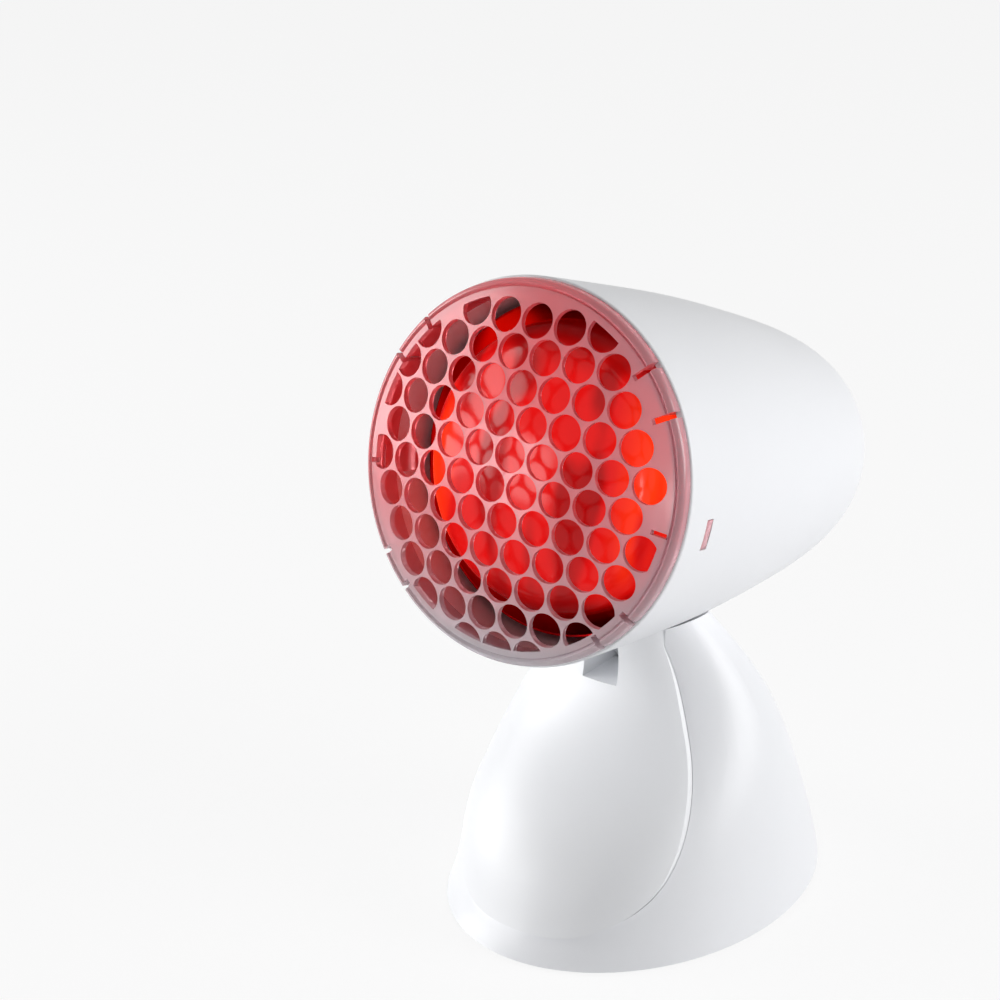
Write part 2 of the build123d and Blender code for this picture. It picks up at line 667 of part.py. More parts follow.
with BuildPart() as switch_body:
    with BuildSketch(switch_plane):
        RectangleRounded(*SWITCH_FLANGE, 1.0)
    extrude(amount=SWITCH_FLANGE_THICKNESS)
    fillet(switch_body.faces().sort_by(Axis(switch_plane.origin, switch_plane.z_dir))[-1].edges(), 0.5)
    with BuildSketch(switch_plane):
        Rectangle(*SWITCH_BODY)
    extrude(amount=-SWITCH_DEPTH)
    with BuildSketch(switch_plane.offset(SWITCH_FLANGE_THICKNESS)):
        Rectangle(2 * (ROCKER_HALF_WIDTH + ROCKER_GAP), 2 * POCKET_REACH)
    extrude(amount=-(SWITCH_FLANGE_THICKNESS + POCKET_DEPTH + ROCKER_GAP), mode=Mode.SUBTRACT)
    with BuildSketch(rocker_plane):
        Circle(ROCKER_PIN_RADIUS + AXLE_RUNNING_CLEARANCE)
    extrude(amount=ROCKER_HALF_WIDTH + ROCKER_PIN_REACH + ROCKER_GAP / 2, both=True, mode=Mode.SUBTRACT)
switch_body.part.label = "switch_body"
export_step(switch_body.part, "parts/switch_body.step")

rise_at_end = ROCKER_RISE + ROCKER_HALF_LENGTH * sin(radians(ROCKER_REST_ANGLE))
with BuildPart() as switch_rocker:
    with BuildSketch(rocker_plane):
        with Locations(Location((0, 0, 0), (0, 0, ROCKER_REST_ANGLE))):
            Polygon(
                (-ROCKER_HALF_LENGTH, -ROCKER_SINK),
                (ROCKER_HALF_LENGTH, -ROCKER_SINK),
                (ROCKER_HALF_LENGTH, rise_at_end),
                (0, ROCKER_RISE),
                (-ROCKER_HALF_LENGTH, rise_at_end),
                align=None,
            )
    extrude(amount=ROCKER_HALF_WIDTH, both=True)
    with BuildSketch(rocker_plane):
        Circle(ROCKER_PIN_RADIUS)
    extrude(amount=ROCKER_HALF_WIDTH + ROCKER_PIN_REACH, both=True)
switch_rocker.part.label = "switch_rocker"
export_step(switch_rocker.part, "parts/switch_rocker.step")

terminal_thickness, terminal_width, terminal_length = TERMINAL_SIZE
terminal_plane = switch_plane.offset(-SWITCH_DEPTH)
with BuildPart() as switch_terminals:
    with BuildSketch(terminal_plane):
        with GridLocations(TERMINAL_SPACING, 1, 2, 1):
            Rectangle(terminal_thickness, terminal_width)
    extrude(amount=-terminal_length)
switch_terminals.part.label = "switch_terminals"
export_step(switch_terminals.part, "parts/switch_terminals.step")

with BuildPart() as cord_inlet:
    with BuildSketch(inlet_plane.offset(INLET_FLANGE)):
        Circle(INLET_FLANGE_RADIUS)
    extrude(amount=-INLET_FLANGE)
    fillet(cord_inlet.faces().sort_by(Axis(inlet_plane.origin, inlet_plane.z_dir))[-1].edges(), 0.6)
    with BuildSketch(inlet_plane):
        Circle(INLET_RADIUS)
    extrude(amount=-(BASE_WALL + INLET_TAIL))
    with BuildSketch(inlet_plane.offset(INLET_FLANGE)):
        Circle(INLET_BORE_RADIUS)
    extrude(amount=-(INLET_FLANGE + BASE_WALL + INLET_TAIL), mode=Mode.SUBTRACT)
cord_inlet.part.label = "cord_inlet"
export_step(cord_inlet.part, "parts/cord_inlet.step")

# ---------------------------------------------------------------- wiring in the base
block_length, block_depth, block_height = TERMINAL_BLOCK
wire_height = PLATE_TOP + TERMINAL_BLOCK_WIRE_HEIGHT
block_screw_length = block_height / 2 + PLATE_THICKNESS - 0.2
ways = [-TERMINAL_BLOCK_WAYS / 2, TERMINAL_BLOCK_WAYS / 2]

with BuildPart() as terminal_block:
    with BuildSketch(Plane.XY.offset(PLATE_TOP)):
        with Locations((0, TERMINAL_BLOCK_Y)):
            RectangleRounded(block_length, block_depth, 1.5)
    extrude(amount=block_height)
    with BuildSketch(Plane.XZ.offset(-TERMINAL_BLOCK_Y)):
        with Locations(*[(x, wire_height) for x in ways]):
            Circle(TERMINAL_BLOCK_HOLE_RADIUS)
    extrude(amount=block_depth, both=True, mode=Mode.SUBTRACT)
    with BuildSketch(Plane.XY.offset(PLATE_TOP + block_height / 2)):
        with Locations((0, TERMINAL_BLOCK_Y)):
            Circle(SCREW_HEAD_RADIUS + SCREW_CLEARANCE)
    extrude(amount=block_height, mode=Mode.SUBTRACT)
    with BuildSketch(Plane.XY.offset(PLATE_TOP)):
        with Locations((0, TERMINAL_BLOCK_Y)):
            Circle(SCREW_SHANK_RADIUS)
    extrude(amount=block_height, mode=Mode.SUBTRACT)
terminal_block.part.label = "terminal_block"
export_step(terminal_block.part, "parts/terminal_block.step")

block_screw_seat = Plane(origin=(0, TERMINAL_BLOCK_Y, PLATE_TOP + block_height / 2), z_dir=(0, 0, 1))
with BuildPart() as block_screw:
    add(screw(block_screw_seat, block_screw_length))
block_screw.part.label = "block_screw"
export_step(block_screw.part, "parts/block_screw.step")

bar_length, bar_width, bar_height = CLAMP_BAR
clamp_top = Plane.XY.offset(PLATE_TOP + CLAMP_POST_HEIGHT)
with BuildPart() as cord_clamp:
    with BuildSketch(clamp_top):
        with Locations((0, CLAMP_Y)):
            SlotOverall(bar_length, bar_width)
        with Locations(*clamp_places):
            Circle(SCREW_SHANK_RADIUS + SCREW_CLEARANCE, mode=Mode.SUBTRACT)
    extrude(amount=bar_height)
cord_clamp.part.label = "cord_clamp"
export_step(cord_clamp.part, "parts/cord_clamp.step")

with BuildPart() as clamp_screws:
    for x, y in clamp_places:
        add(screw(Plane(origin=(x, y, PLATE_TOP + CLAMP_POST_HEIGHT + bar_height), z_dir=(0, 0, 1))))
clamp_screws.part.label = "clamp_screws"
export_step(clamp_screws.part, "parts/clamp_screws.step")


def lead(points, bends):
    """Round lead along straight runs joined by arcs, one bend radius for each corner."""
    with BuildPart() as body:
        with BuildLine() as route:
            FilletPolyline(*points, radius=bends)
        with BuildSketch(Plane(origin=route.line @ 0, z_dir=route.line % 0)):
            Circle(LEAD_RADIUS)
        sweep(path=route.line)
    return body.part


block_front = TERMINAL_BLOCK_Y - block_depth / 2
block_back = TERMINAL_BLOCK_Y + block_depth / 2
lead_y = PIVOT_Y + LEAD_CHANNEL_OFFSET - LEAD_SETBACK

with BuildPart() as lamp_leads:
    for side in (-1, 1):
        points = [
            (side * TERMINAL_BLOCK_WAYS / 2, block_front, wire_height),
            (side * TERMINAL_BLOCK_WAYS / 2, block_front - 12, wire_height),
            (side * 5, block_front - 16, wire_height + 24),
            (side * LEAD_SPACING, lead_y, web_bottom - 18),
            (side * LEAD_SPACING, lead_y, web_bottom - 1),
        ]
        add(lead(points, [LEAD_BEND] * 3))
lamp_leads.part.label = "lamp_leads"
export_step(lamp_leads.part, "parts/lamp_leads.step")

with BuildPart() as switch_leads:
    for side in (-1, 1):
        start = terminal_plane.from_local_coords(Vector(-side * TERMINAL_SPACING / 2, 0, -terminal_length))
        points = [
            start,
            start + switch_plane.z_dir * -9,
            (side * TERMINAL_BLOCK_WAYS / 2, block_back + 9, wire_height),
            (side * TERMINAL_BLOCK_WAYS / 2, block_back, wire_height),
        ]
        add(lead(points, [LEAD_BEND] * 2))
switch_leads.part.label = "switch_leads"
export_step(switch_leads.part, "parts/switch_leads.step")

# ---------------------------------------------------------------- head housing
boss_plane = cross_plane(BRACKET_STATION)
HOOK_ANGLE_PLANES = [radial_plane(angle) for angle in HOOK_ANGLES]
bush_outside = AXLE_RADIUS + AXLE_RUNNING_CLEARANCE + BUSH_WALL

# Bosses stand from the bracket's back to half way into the wall of the housing.
bullet_middle = head_solid(HEAD_WALL / 2)
with BuildPart() as bosses:
    with BuildSketch(boss_plane):
        with PolarLocations(BOSS_CIRCLE_RADIUS, BOSS_COUNT, start_angle=90):
            Circle(BOSS_RADIUS)
    extrude(amount=-(HEAD_LENGTH - BRACKET_STATION))
    add(bullet_middle, mode=Mode.INTERSECT)

with BuildPart() as head_housing:
    add(head_solid(0.0, start=LIP_SEAT))
    fillet(head_housing.faces().sort_by(head_axis)[0].edges(), LIP_ROUND)
    # Neck under the shade, with a round end about the pivot.
    with BuildSketch(radial_plane(90)):
        with BuildLine():
            CenterArc((PIVOT_STATION, -PIVOT_DROP), NECK_ROUND_RADIUS, 180, 180)
            neck_front = PIVOT_STATION - NECK_FRONT_REACH
            neck_back = PIVOT_STATION + NECK_REAR_REACH
            Line((neck_front, NECK_ROOT - head_radius(neck_front)), (neck_front, -MOUTH_RADIUS / 2))
            Line((neck_back, NECK_ROOT - head_radius(neck_back)), (neck_back, -MOUTH_RADIUS / 2))
        make_hull()
    extrude(amount=NECK_HALF_THICKNESS, both=True)
    add(bullet_inside, mode=Mode.SUBTRACT)
    add(bosses.part)
    with BuildSketch(boss_plane):
        with PolarLocations(BOSS_CIRCLE_RADIUS, BOSS_COUNT, start_angle=90):
            Circle(SCREW_SHANK_RADIUS)
    extrude(amount=-SCREW_LENGTH, mode=Mode.SUBTRACT)
    # Bore for the bush.
    with BuildSketch(pivot_plane):
        Circle(bush_outside)
    extrude(amount=NECK_HALF_THICKNESS, both=True, mode=Mode.SUBTRACT)
    # Notches for the tilt positions, on one side of the neck.
    with BuildSketch(radial_plane(90).offset(NOTCH_SIDE)):
        with Locations((PIVOT_STATION, -PIVOT_DROP)):
            with PolarLocations(
                NECK_ROUND_RADIUS,
                TILT_STEPS + 1,
                start_angle=NOTCH_ANGLE + REST_TILT,
                angular_range=TILT_RANGE,
                endpoint=True,
            ):
                Circle(NOTCH_RADIUS)
    extrude(amount=NECK_HALF_THICKNESS, mode=Mode.SUBTRACT)
    # Channel for the leads behind the bush.
    channel_station = PIVOT_STATION + LEAD_CHANNEL_OFFSET
    with BuildSketch(Plane(origin=tuple(head_point(channel_station, 0, 0)), z_dir=tuple(HEAD_UP * -1))):
        Circle(LEAD_CHANNEL_RADIUS)
    extrude(amount=PIVOT_DROP + NECK_ROUND_RADIUS, mode=Mode.SUBTRACT)
    # Windows for the grille's hooks.
    for plane in HOOK_ANGLE_PLANES:
        with BuildSketch(plane):
            with Locations((WINDOW_STATION, MOUTH_RADIUS)):
                Rectangle(HOOK_LUG + 2 * WINDOW_CLEARANCE, MOUTH_RADIUS / 2)
        extrude(amount=HOOK_WIDTH / 2 + WINDOW_CLEARANCE, both=True, mode=Mode.SUBTRACT)
head_housing.part.label = "head_housing"
export_step(head_housing.part, "parts/head_housing.step")

# ---------------------------------------------------------------- grille
grille_radius = MOUTH_RADIUS - GRILLE_STEP
ridge_radius = grille_radius - RIDGE_STEP
shoulder_radius = grille_radius - SHOULDER_STEP
field_radius = shoulder_radius - FIELD_STEP
skirt_outside = MOUTH_RADIUS - HEAD_WALL - SKIRT_CLEARANCE
skirt_inside = skirt_outside - SKIRT_WALL
dome_height = DOME_RISE - SHOULDER_RISE
dome_radius = (shoulder_radius**2 + dome_height**2) / (2 * dome_height)
dome_centre = dome_radius - DOME_RISE
dome_point = MOUTH + REAR * dome_centre


def dome_station(radius, inset=0.0):
    """Station of the dome's surface at a radius, drawn in by inset."""
    return dome_centre - sqrt((dome_radius - inset) ** 2 - radius**2)


ROW_PITCH = HOLE_PITCH * sqrt(3) / 2
LATTICE_REACH = int(field_radius / ROW_PITCH) + 2


def hole_planes():
    """Planes of the grille's holes: staggered rows on the dome, each square to it. A hole is
    kept where enough of it shows in the field, more at the sides, beside tabs and hooks."""
    planes = []
    for row in range(-LATTICE_REACH, LATTICE_REACH + 1):
        rise = HOLE_ROW_OFFSET + row * ROW_PITCH
        stagger = HOLE_PITCH / 2 if row % 2 == 0 else 0
        for column in range(-LATTICE_REACH, LATTICE_REACH + 1):
            x = HOLE_COLUMN_OFFSET + stagger + column * HOLE_PITCH
            show = SIDE_HOLE_SHOW if abs(x) > abs(rise) else END_HOLE_SHOW
            reach = hypot(x, rise)
            if field_radius + HOLE_RADIUS - reach > show:
                centre = head_point(dome_station(reach), x, rise)
                planes.append(Plane(origin=tuple(centre), z_dir=tuple(centre - dome_point)))
    return planes


with BuildPart() as hole_field:
    with Locations(*hole_planes()):
        Cylinder(HOLE_RADIUS, 4 * GRILLE_THICKNESS)
    with BuildSketch(cross_plane(SKIRT_END)):
        Circle(field_radius)
    extrude(amount=SKIRT_END + 2 * DOME_RISE, mode=Mode.INTERSECT)

with BuildPart() as protective_grille:
    with BuildSketch(radial_plane(90)):
        with BuildLine():
            shoulder_station = dome_station(shoulder_radius)
            apex = (-DOME_RISE, 0)
            field_edge = (dome_station(field_radius), field_radius)
            halfway = field_radius / 2
            ThreePointArc(apex, (dome_station(halfway), halfway), field_edge)
            Polyline(
                field_edge,
                (shoulder_station, shoulder_radius),
                (shoulder_station + GROOVE_DEPTH, shoulder_radius + GROOVE_DEPTH / 2),
                (shoulder_station, ridge_radius),
            )
            RadiusArc((shoulder_station, ridge_radius), (RIDGE_END, grille_radius), RIDGE_ROUND)
            Polyline(
                (RIDGE_END, grille_radius),
                (LIP_SEAT, grille_radius),
                (LIP_SEAT, skirt_outside),
                (SKIRT_END, skirt_outside),
                (SKIRT_END, skirt_inside),
                (dome_station(skirt_inside, GRILLE_THICKNESS), skirt_inside),
            )
            ThreePointArc(
                (dome_station(skirt_inside, GRILLE_THICKNESS), skirt_inside),
                (dome_station(halfway, GRILLE_THICKNESS), halfway),
                (dome_station(0, GRILLE_THICKNESS), 0),
            )
            Line((dome_station(0, GRILLE_THICKNESS), 0), apex)
        make_face()
    revolve(axis=head_axis)
    add(hole_field.part, mode=Mode.SUBTRACT)
    # Slots that free the snap tabs.
    for angle, slot_length in TAB_SLOTS:
        with BuildSketch(cross_plane(SKIRT_END)):
            for side in (angle, 180 - angle):
                with PolarLocations(grille_radius, 1, start_angle=side):
                    Rectangle(2 * slot_length, TAB_SLOT_WIDTH)
        extrude(amount=SKIRT_END + 2 * DOME_RISE, mode=Mode.SUBTRACT)
    # Short slots in the dome's edge, over the hooks.
    for angle in HOOK_ANGLES:
        with BuildSketch(cross_plane(RIDGE_END)):
            with PolarLocations(shoulder_radius - HOOK_SLOT_LENGTH / 2, 1, start_angle=angle):
                Rectangle(HOOK_SLOT_LENGTH, HOOK_SLOT_WIDTH)
        extrude(amount=2 * DOME_RISE, mode=Mode.SUBTRACT)
    # Hooks that reach into the housing's windows.
    hook_outside = skirt_outside - HOOK_STEP
    lug_front = WINDOW_STATION - HOOK_LUG / 2
    lug_back = WINDOW_STATION + HOOK_LUG / 2
    for plane in HOOK_ANGLE_PLANES:
        with BuildSketch(plane):
            with BuildLine():
                Polyline(
                    (LIP_SEAT, hook_outside - HOOK_WALL),
                    (HOOK_END, hook_outside - HOOK_WALL),
                    (HOOK_END, hook_outside),
                    (lug_back, hook_outside),
                    (lug_back, hook_outside + HOOK_RISE),
                    (lug_front, hook_outside + HOOK_RISE),
                    (lug_front, hook_outside),
                    (LIP_SEAT, hook_outside),
                    close=True,
                )
            make_face()
        extrude(amount=HOOK_WIDTH / 2, both=True)
protective_grille.part.label = "protective_grille"
export_step(protective_grille.part, "parts/protective_grille.step")

# ---------------------------------------------------------------- lampholder and its bracket
holder_front = BRACKET_STATION - BRACKET_THICKNESS
cap_station = BULB_FACE_STATION + BULB_LENGTH + CAP_GAP + CAP_STEP
cap_end = cap_station + CAP_LENGTH
tip_station = cap_end + INSULATOR_HEIGHT + TIP_HEIGHT
strip_length, strip_width, strip_thickness = CONTACT_STRIP
strip_station = tip_station + CONTACT_GAP
holder_floor = strip_station + strip_thickness + CONTACT_SPRING_HEIGHT
holder_end = holder_floor + HOLDER_BACK
sleeve_station = holder_front + HOLDER_MOUTH_DEPTH + SLEEVE_STEP
holder_screw_places = [(-HOLDER_SCREW_SPACING / 2, 0), (HOLDER_SCREW_SPACING / 2, 0)]

with BuildPart() as lampholder_body:
    with BuildSketch(radial_plane(90)):
        with BuildLine():
            Polyline(
                (holder_front, HOLDER_MOUTH_RADIUS),
                (holder_front, HOLDER_RADIUS),
                (BRACKET_STATION, HOLDER_RADIUS),
                (BRACKET_STATION, HOLDER_FLANGE_RADIUS),
                (BRACKET_STATION + HOLDER_FLANGE_THICKNESS, HOLDER_FLANGE_RADIUS),
                (BRACKET_STATION + HOLDER_FLANGE_THICKNESS, HOLDER_RADIUS),
                (holder_end, HOLDER_RADIUS),
                (holder_end, 0),
                (holder_floor, 0),
                (holder_floor, HOLDER_BORE_RADIUS),
                (holder_front + HOLDER_MOUTH_DEPTH, HOLDER_BORE_RADIUS),
                (holder_front + HOLDER_MOUTH_DEPTH, HOLDER_MOUTH_RADIUS),
                close=True,
            )
        make_face()
    revolve(axis=head_axis)
    with BuildSketch(cross_plane(BRACKET_STATION)):
        with Locations(*holder_screw_places):
            Circle(SCREW_SHANK_RADIUS)
    extrude(amount=-HOLDER_FLANGE_THICKNESS, mode=Mode.SUBTRACT)
lampholder_body.part.label = "lampholder_body"
export_step(lampholder_body.part, "parts/lampholder_body.step")

with BuildPart() as lampholder_sleeve:
    with BuildSketch(cross_plane(sleeve_station)):
        Circle(HOLDER_BORE_RADIUS)
        Circle(HOLDER_BORE_RADIUS - SLEEVE_WALL, mode=Mode.SUBTRACT)
    extrude(amount=-SLEEVE_LENGTH)
lampholder_sleeve.part.label = "lampholder_sleeve"
export_step(lampholder_sleeve.part, "parts/lampholder_sleeve.step")

# The strip is bent like a low table: its middle meets the bulb, its feet stand on the floor.
with BuildPart() as lampholder_contact:
    with BuildSketch(Plane(origin=tuple(MOUTH), x_dir=tuple(REAR), z_dir=tuple(HEAD_UP))):
        with BuildLine():
            front = strip_station
            back = holder_floor
            foot = strip_length / 2
            Polyline(
                (front, -TIP_RADIUS),
                (front, TIP_RADIUS),
                (back - strip_thickness, foot - CONTACT_FOOT),
                (back - strip_thickness, foot),
                (back, foot),
                (back, foot - CONTACT_FOOT - strip_thickness / 2),
                (front + strip_thickness, TIP_RADIUS - strip_thickness / 2),
                (front + strip_thickness, -TIP_RADIUS + strip_thickness / 2),
                (back, -foot + CONTACT_FOOT + strip_thickness / 2),
                (back, -foot),
                (back - strip_thickness, -foot),
                (back - strip_thickness, -foot + CONTACT_FOOT),
                close=True,
            )
        make_face()
    extrude(amount=strip_width / 2, both=True)
lampholder_contact.part.label = "lampholder_contact"
export_step(lampholder_contact.part, "parts/lampholder_contact.step")

with BuildPart() as holder_bracket:
    with BuildSketch(cross_plane(BRACKET_STATION)):
        Circle(BRACKET_RADIUS)
        with PolarLocations(BOSS_CIRCLE_RADIUS, BOSS_COUNT, start_angle=90):
            Circle(BRACKET_ARM_WIDTH / 2)
        with PolarLocations(BOSS_CIRCLE_RADIUS / 2, BOSS_COUNT, start_angle=90):
            Rectangle(BOSS_CIRCLE_RADIUS, BRACKET_ARM_WIDTH)
        Circle(HOLDER_RADIUS + HOLDER_CLEARANCE, mode=Mode.SUBTRACT)
        with PolarLocations(BOSS_CIRCLE_RADIUS, BOSS_COUNT, start_angle=90):
            Circle(SCREW_SHANK_RADIUS + SCREW_CLEARANCE, mode=Mode.SUBTRACT)
        with Locations(*holder_screw_places):
            Circle(SCREW_SHANK_RADIUS + SCREW_CLEARANCE, mode=Mode.SUBTRACT)
    extrude(amount=BRACKET_THICKNESS)
holder_bracket.part.label = "holder_bracket"
export_step(holder_bracket.part, "parts/holder_bracket.step")

shield_floor = BOSS_CIRCLE_RADIUS + BOSS_RADIUS
shield_front = head_radius(SHIELD_FRONT_STATION) - HEAD_WALL - SHIELD_GAP
with BuildPart() as heat_shield:
    with BuildSketch(radial_plane(90)):
        with BuildLine():
            Polyline(
                (holder_front, SHIELD_HOLE_RADIUS),
                (holder_front, shield_floor + SHIELD_THICKNESS),
                (SHIELD_FRONT_STATION, shield_front),
                (SHIELD_FRONT_STATION, shield_front - SHIELD_THICKNESS),
                (holder_front - SHIELD_THICKNESS, shield_floor),
                (holder_front - SHIELD_THICKNESS, SHIELD_HOLE_RADIUS),
                close=True,
            )
        make_face()
    revolve(axis=head_axis)
    with BuildSketch(cross_plane(holder_front)):
        with PolarLocations(BOSS_CIRCLE_RADIUS, BOSS_COUNT, start_angle=90):
            Circle(SCREW_SHANK_RADIUS + SCREW_CLEARANCE)
    extrude(amount=SHIELD_THICKNESS, mode=Mode.SUBTRACT)
heat_shield.part.label = "heat_shield"
export_step(heat_shield.part, "parts/heat_shield.step")

with BuildPart() as bracket_screws:
    for k in range(BOSS_COUNT):
        angle = radians(90 + 360 * k / BOSS_COUNT)
        place = head_point(
            holder_front - SHIELD_THICKNESS,
            BOSS_CIRCLE_RADIUS * cos(angle),
            BOSS_CIRCLE_RADIUS * sin(angle),
        )
        add(screw(Plane(origin=tuple(place), x_dir=(1, 0, 0), z_dir=tuple(REAR * -1))))
bracket_screws.part.label = "bracket_screws"
export_step(bracket_screws.part, "parts/bracket_screws.step")

with BuildPart() as holder_screws:
    for x, rise in holder_screw_places:
        place = head_point(holder_front, x, rise)
        add(screw(Plane(origin=tuple(place), x_dir=(1, 0, 0), z_dir=tuple(REAR * -1)), SCREW_LENGTH - 2))
holder_screws.part.label = "holder_screws"
export_step(holder_screws.part, "parts/holder_screws.step")

with BuildPart() as head_leads:
    for side in (-1, 1):
        points = [
            head_point(holder_end, side * 6, -6),
            head_point(holder_end + 8, side * 6, -6),
            head_point(holder_end + 5, side * 5, -25),
            head_point(132, side * 3, -39.5),
            head_point(BRACKET_STATION, side * LEAD_SPACING, -44),
            head_point(channel_station, side * LEAD_SPACING, -46),
            head_point(channel_station, side * LEAD_SPACING, 3 - PIVOT_DROP - NECK_ROUND_RADIUS / 2),
        ]
        add(lead(points, [3, 5, 6, 6, 3]))
head_leads.part.label = "head_leads"
export_step(head_leads.part, "parts/head_leads.step")

# ---------------------------------------------------------------- bulb
# Outline of the glass behind its face, as shares of the bulb's length and radius.
GLASS_FORM = [(0.169, 1.0), (0.338, 0.968), (0.526, 0.863), (0.714, 0.684), (0.855, 0.505), (0.949, 0.389)]
face_sphere = (BULB_RADIUS**2 + BULB_FACE_RISE**2) / (2 * BULB_FACE_RISE)


def glass_outline(inset):
    """Half outline of the bulb's glass, from the axis in front to its end in the cap."""
    face = [
        (BULB_FACE_STATION + inset + face_sphere - sqrt(face_sphere**2 - r**2), r)
        for r in (0.45 * BULB_RADIUS, 0.72 * BULB_RADIUS, 0.9 * BULB_RADIUS)
    ]
    sides = [
        (BULB_FACE_STATION + share * BULB_LENGTH, size * BULB_RADIUS - inset) for share, size in GLASS_FORM
    ]
    neck = (BULB_FACE_STATION + BULB_LENGTH, BULB_NECK_RADIUS - inset)
    return [(BULB_FACE_STATION + inset, 0)] + face + sides + [neck]


def glass_solid(inset):
    points = glass_outline(inset)
    end = cap_station + GLASS_IN_CAP - inset
    with BuildPart() as body:
        with BuildSketch(radial_plane(90)):
            with BuildLine():
                Spline(*points, tangents=((0, 1), (1, -0.5)))
                Polyline(
                    points[-1],
                    (cap_station - CAP_GAP, GLASS_END_RADIUS - inset),
                    (end, GLASS_END_RADIUS - inset),
                    (end, 0),
                    points[0],
                )
            make_face()
        revolve(axis=head_axis)
    return body.part


with BuildPart() as bulb_glass:
    add(glass_solid(0.0))
    add(glass_solid(GLASS_WALL), mode=Mode.SUBTRACT)
bulb_glass.part.label = "bulb_glass"
export_step(bulb_glass.part, "parts/bulb_glass.step")

thread_root = CAP_RADIUS - THREAD_DEPTH
cap_inside = thread_root - CAP_WALL
insulator_radius = thread_root - CAP_END_STEP - CAP_WALL
with BuildPart() as bulb_cap:
    with BuildSketch(radial_plane(90)):
        with BuildLine():
            Polyline(
                (cap_station, cap_inside),
                (cap_station, thread_root),
                (cap_end, thread_root),
                (cap_end + INSULATOR_HEIGHT / 2, thread_root - CAP_END_STEP),
                (cap_end + INSULATOR_HEIGHT / 2, insulator_radius),
                (cap_end - CAP_WALL, cap_inside),
                close=True,
            )
        make_face()
        with Locations(
            *[
                (cap_station + THREAD_START + THREAD_PITCH * (k + 0.5), thread_root)
                for k in range(THREAD_TURNS)
            ]
        ):
            Ellipse(THREAD_CREST, THREAD_DEPTH)
    revolve(axis=head_axis)
    with BuildSketch(cross_plane(cap_station)):
        Circle(cap_inside)
    extrude(amount=-(CAP_LENGTH - CAP_WALL), mode=Mode.SUBTRACT)
bulb_cap.part.label = "bulb_cap"
export_step(bulb_cap.part, "parts/bulb_cap.step")

with BuildPart() as bulb_insulator:
    with BuildSketch(radial_plane(90)):
        with BuildLine():
            Polyline(
                (cap_end - CAP_WALL, 0),
                (cap_end - CAP_WALL, insulator_radius),
                (cap_end + INSULATOR_HEIGHT / 2, insulator_radius),
                (cap_end + INSULATOR_HEIGHT, TIP_RADIUS + 1),
                (cap_end + INSULATOR_HEIGHT, 0),
                close=True,
            )
        make_face()
    revolve(axis=head_axis)
bulb_insulator.part.label = "bulb_insulator"
export_step(bulb_insulator.part, "parts/bulb_insulator.step")

with BuildPart() as bulb_contact:
    with BuildSketch(cross_plane(cap_end + INSULATOR_HEIGHT)):
        Circle(TIP_RADIUS)
    extrude(amount=-TIP_HEIGHT)
    fillet(bulb_contact.faces().sort_by(Axis(head_axis.position, REAR))[-1].edges(), TIP_HEIGHT / 2)
bulb_contact.part.label = "bulb_contact"
export_step(bulb_contact.part, "parts/bulb_contact.step")

# The glass stem carries two support wires, which hold the open ring of the filament.
stem_station = cap_station + GLASS_IN_CAP - GLASS_WALL
stem_front = stem_station - STEM_LENGTH
ring_station = stem_front - SUPPORT_LENGTH
with BuildPart() as filament_mount:
    with BuildSketch(cross_plane(stem_station)):
        Circle(STEM_RADIUS)
    extrude(amount=STEM_LENGTH)
    for side in (-1, 1):
        foot = head_point(stem_front + 2, side * STEM_RADIUS / 2, 0)
        top = head_point(ring_station, side * FILAMENT_RING_RADIUS, 0)
        wire = Plane(origin=tuple(foot), z_dir=tuple(top - foot))
        with BuildSketch(wire):
            Circle(SUPPORT_RADIUS)
        extrude(amount=(top - foot).length)
filament_mount.part.label = "filament_mount"
export_step(filament_mount.part, "parts/filament_mount.step")

with BuildPart() as filament:
    with BuildSketch(radial_plane(0)):
        with Locations((ring_station - FILAMENT_RADIUS - SUPPORT_RADIUS, FILAMENT_RING_RADIUS)):
            Circle(FILAMENT_RADIUS)
    revolve(axis=head_axis, revolution_arc=350)
filament.part.label = "filament"
export_step(filament.part, "parts/filament.step")
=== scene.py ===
import json
import math

import bpy
from mathutils import Matrix, Vector


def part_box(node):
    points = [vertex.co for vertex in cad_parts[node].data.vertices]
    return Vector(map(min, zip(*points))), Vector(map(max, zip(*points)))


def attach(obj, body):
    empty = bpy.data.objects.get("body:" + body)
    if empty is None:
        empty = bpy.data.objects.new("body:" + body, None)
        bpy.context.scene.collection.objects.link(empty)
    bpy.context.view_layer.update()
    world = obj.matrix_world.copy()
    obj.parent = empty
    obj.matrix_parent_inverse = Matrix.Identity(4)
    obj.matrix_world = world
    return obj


bl_info = {
    "name": "Infrared Heat Lamp",
    "version": (1, 0, 0),
    "blender": (4, 5, 0),
    "location": "3D View > Sidebar > Heat Lamp",
    "description": "Finishes, small details and a studio for a tilting infrared heat lamp",
    "category": "Object",
}

MM = 0.001
SIDEBAR_TAB = "Heat Lamp"

# The frame is loaded here, so that a size below can come from it.
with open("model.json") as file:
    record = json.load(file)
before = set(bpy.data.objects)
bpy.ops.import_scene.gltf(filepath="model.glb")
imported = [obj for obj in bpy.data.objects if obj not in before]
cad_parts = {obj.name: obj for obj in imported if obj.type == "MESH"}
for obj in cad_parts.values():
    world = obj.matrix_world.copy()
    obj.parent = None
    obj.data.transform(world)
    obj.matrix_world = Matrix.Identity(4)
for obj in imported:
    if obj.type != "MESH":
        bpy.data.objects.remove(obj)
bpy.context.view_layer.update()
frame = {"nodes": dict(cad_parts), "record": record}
nodes = frame["nodes"]
record = frame["record"]
joints = {joint["name"]: joint for joint in record["behaviour"]["joints"]}

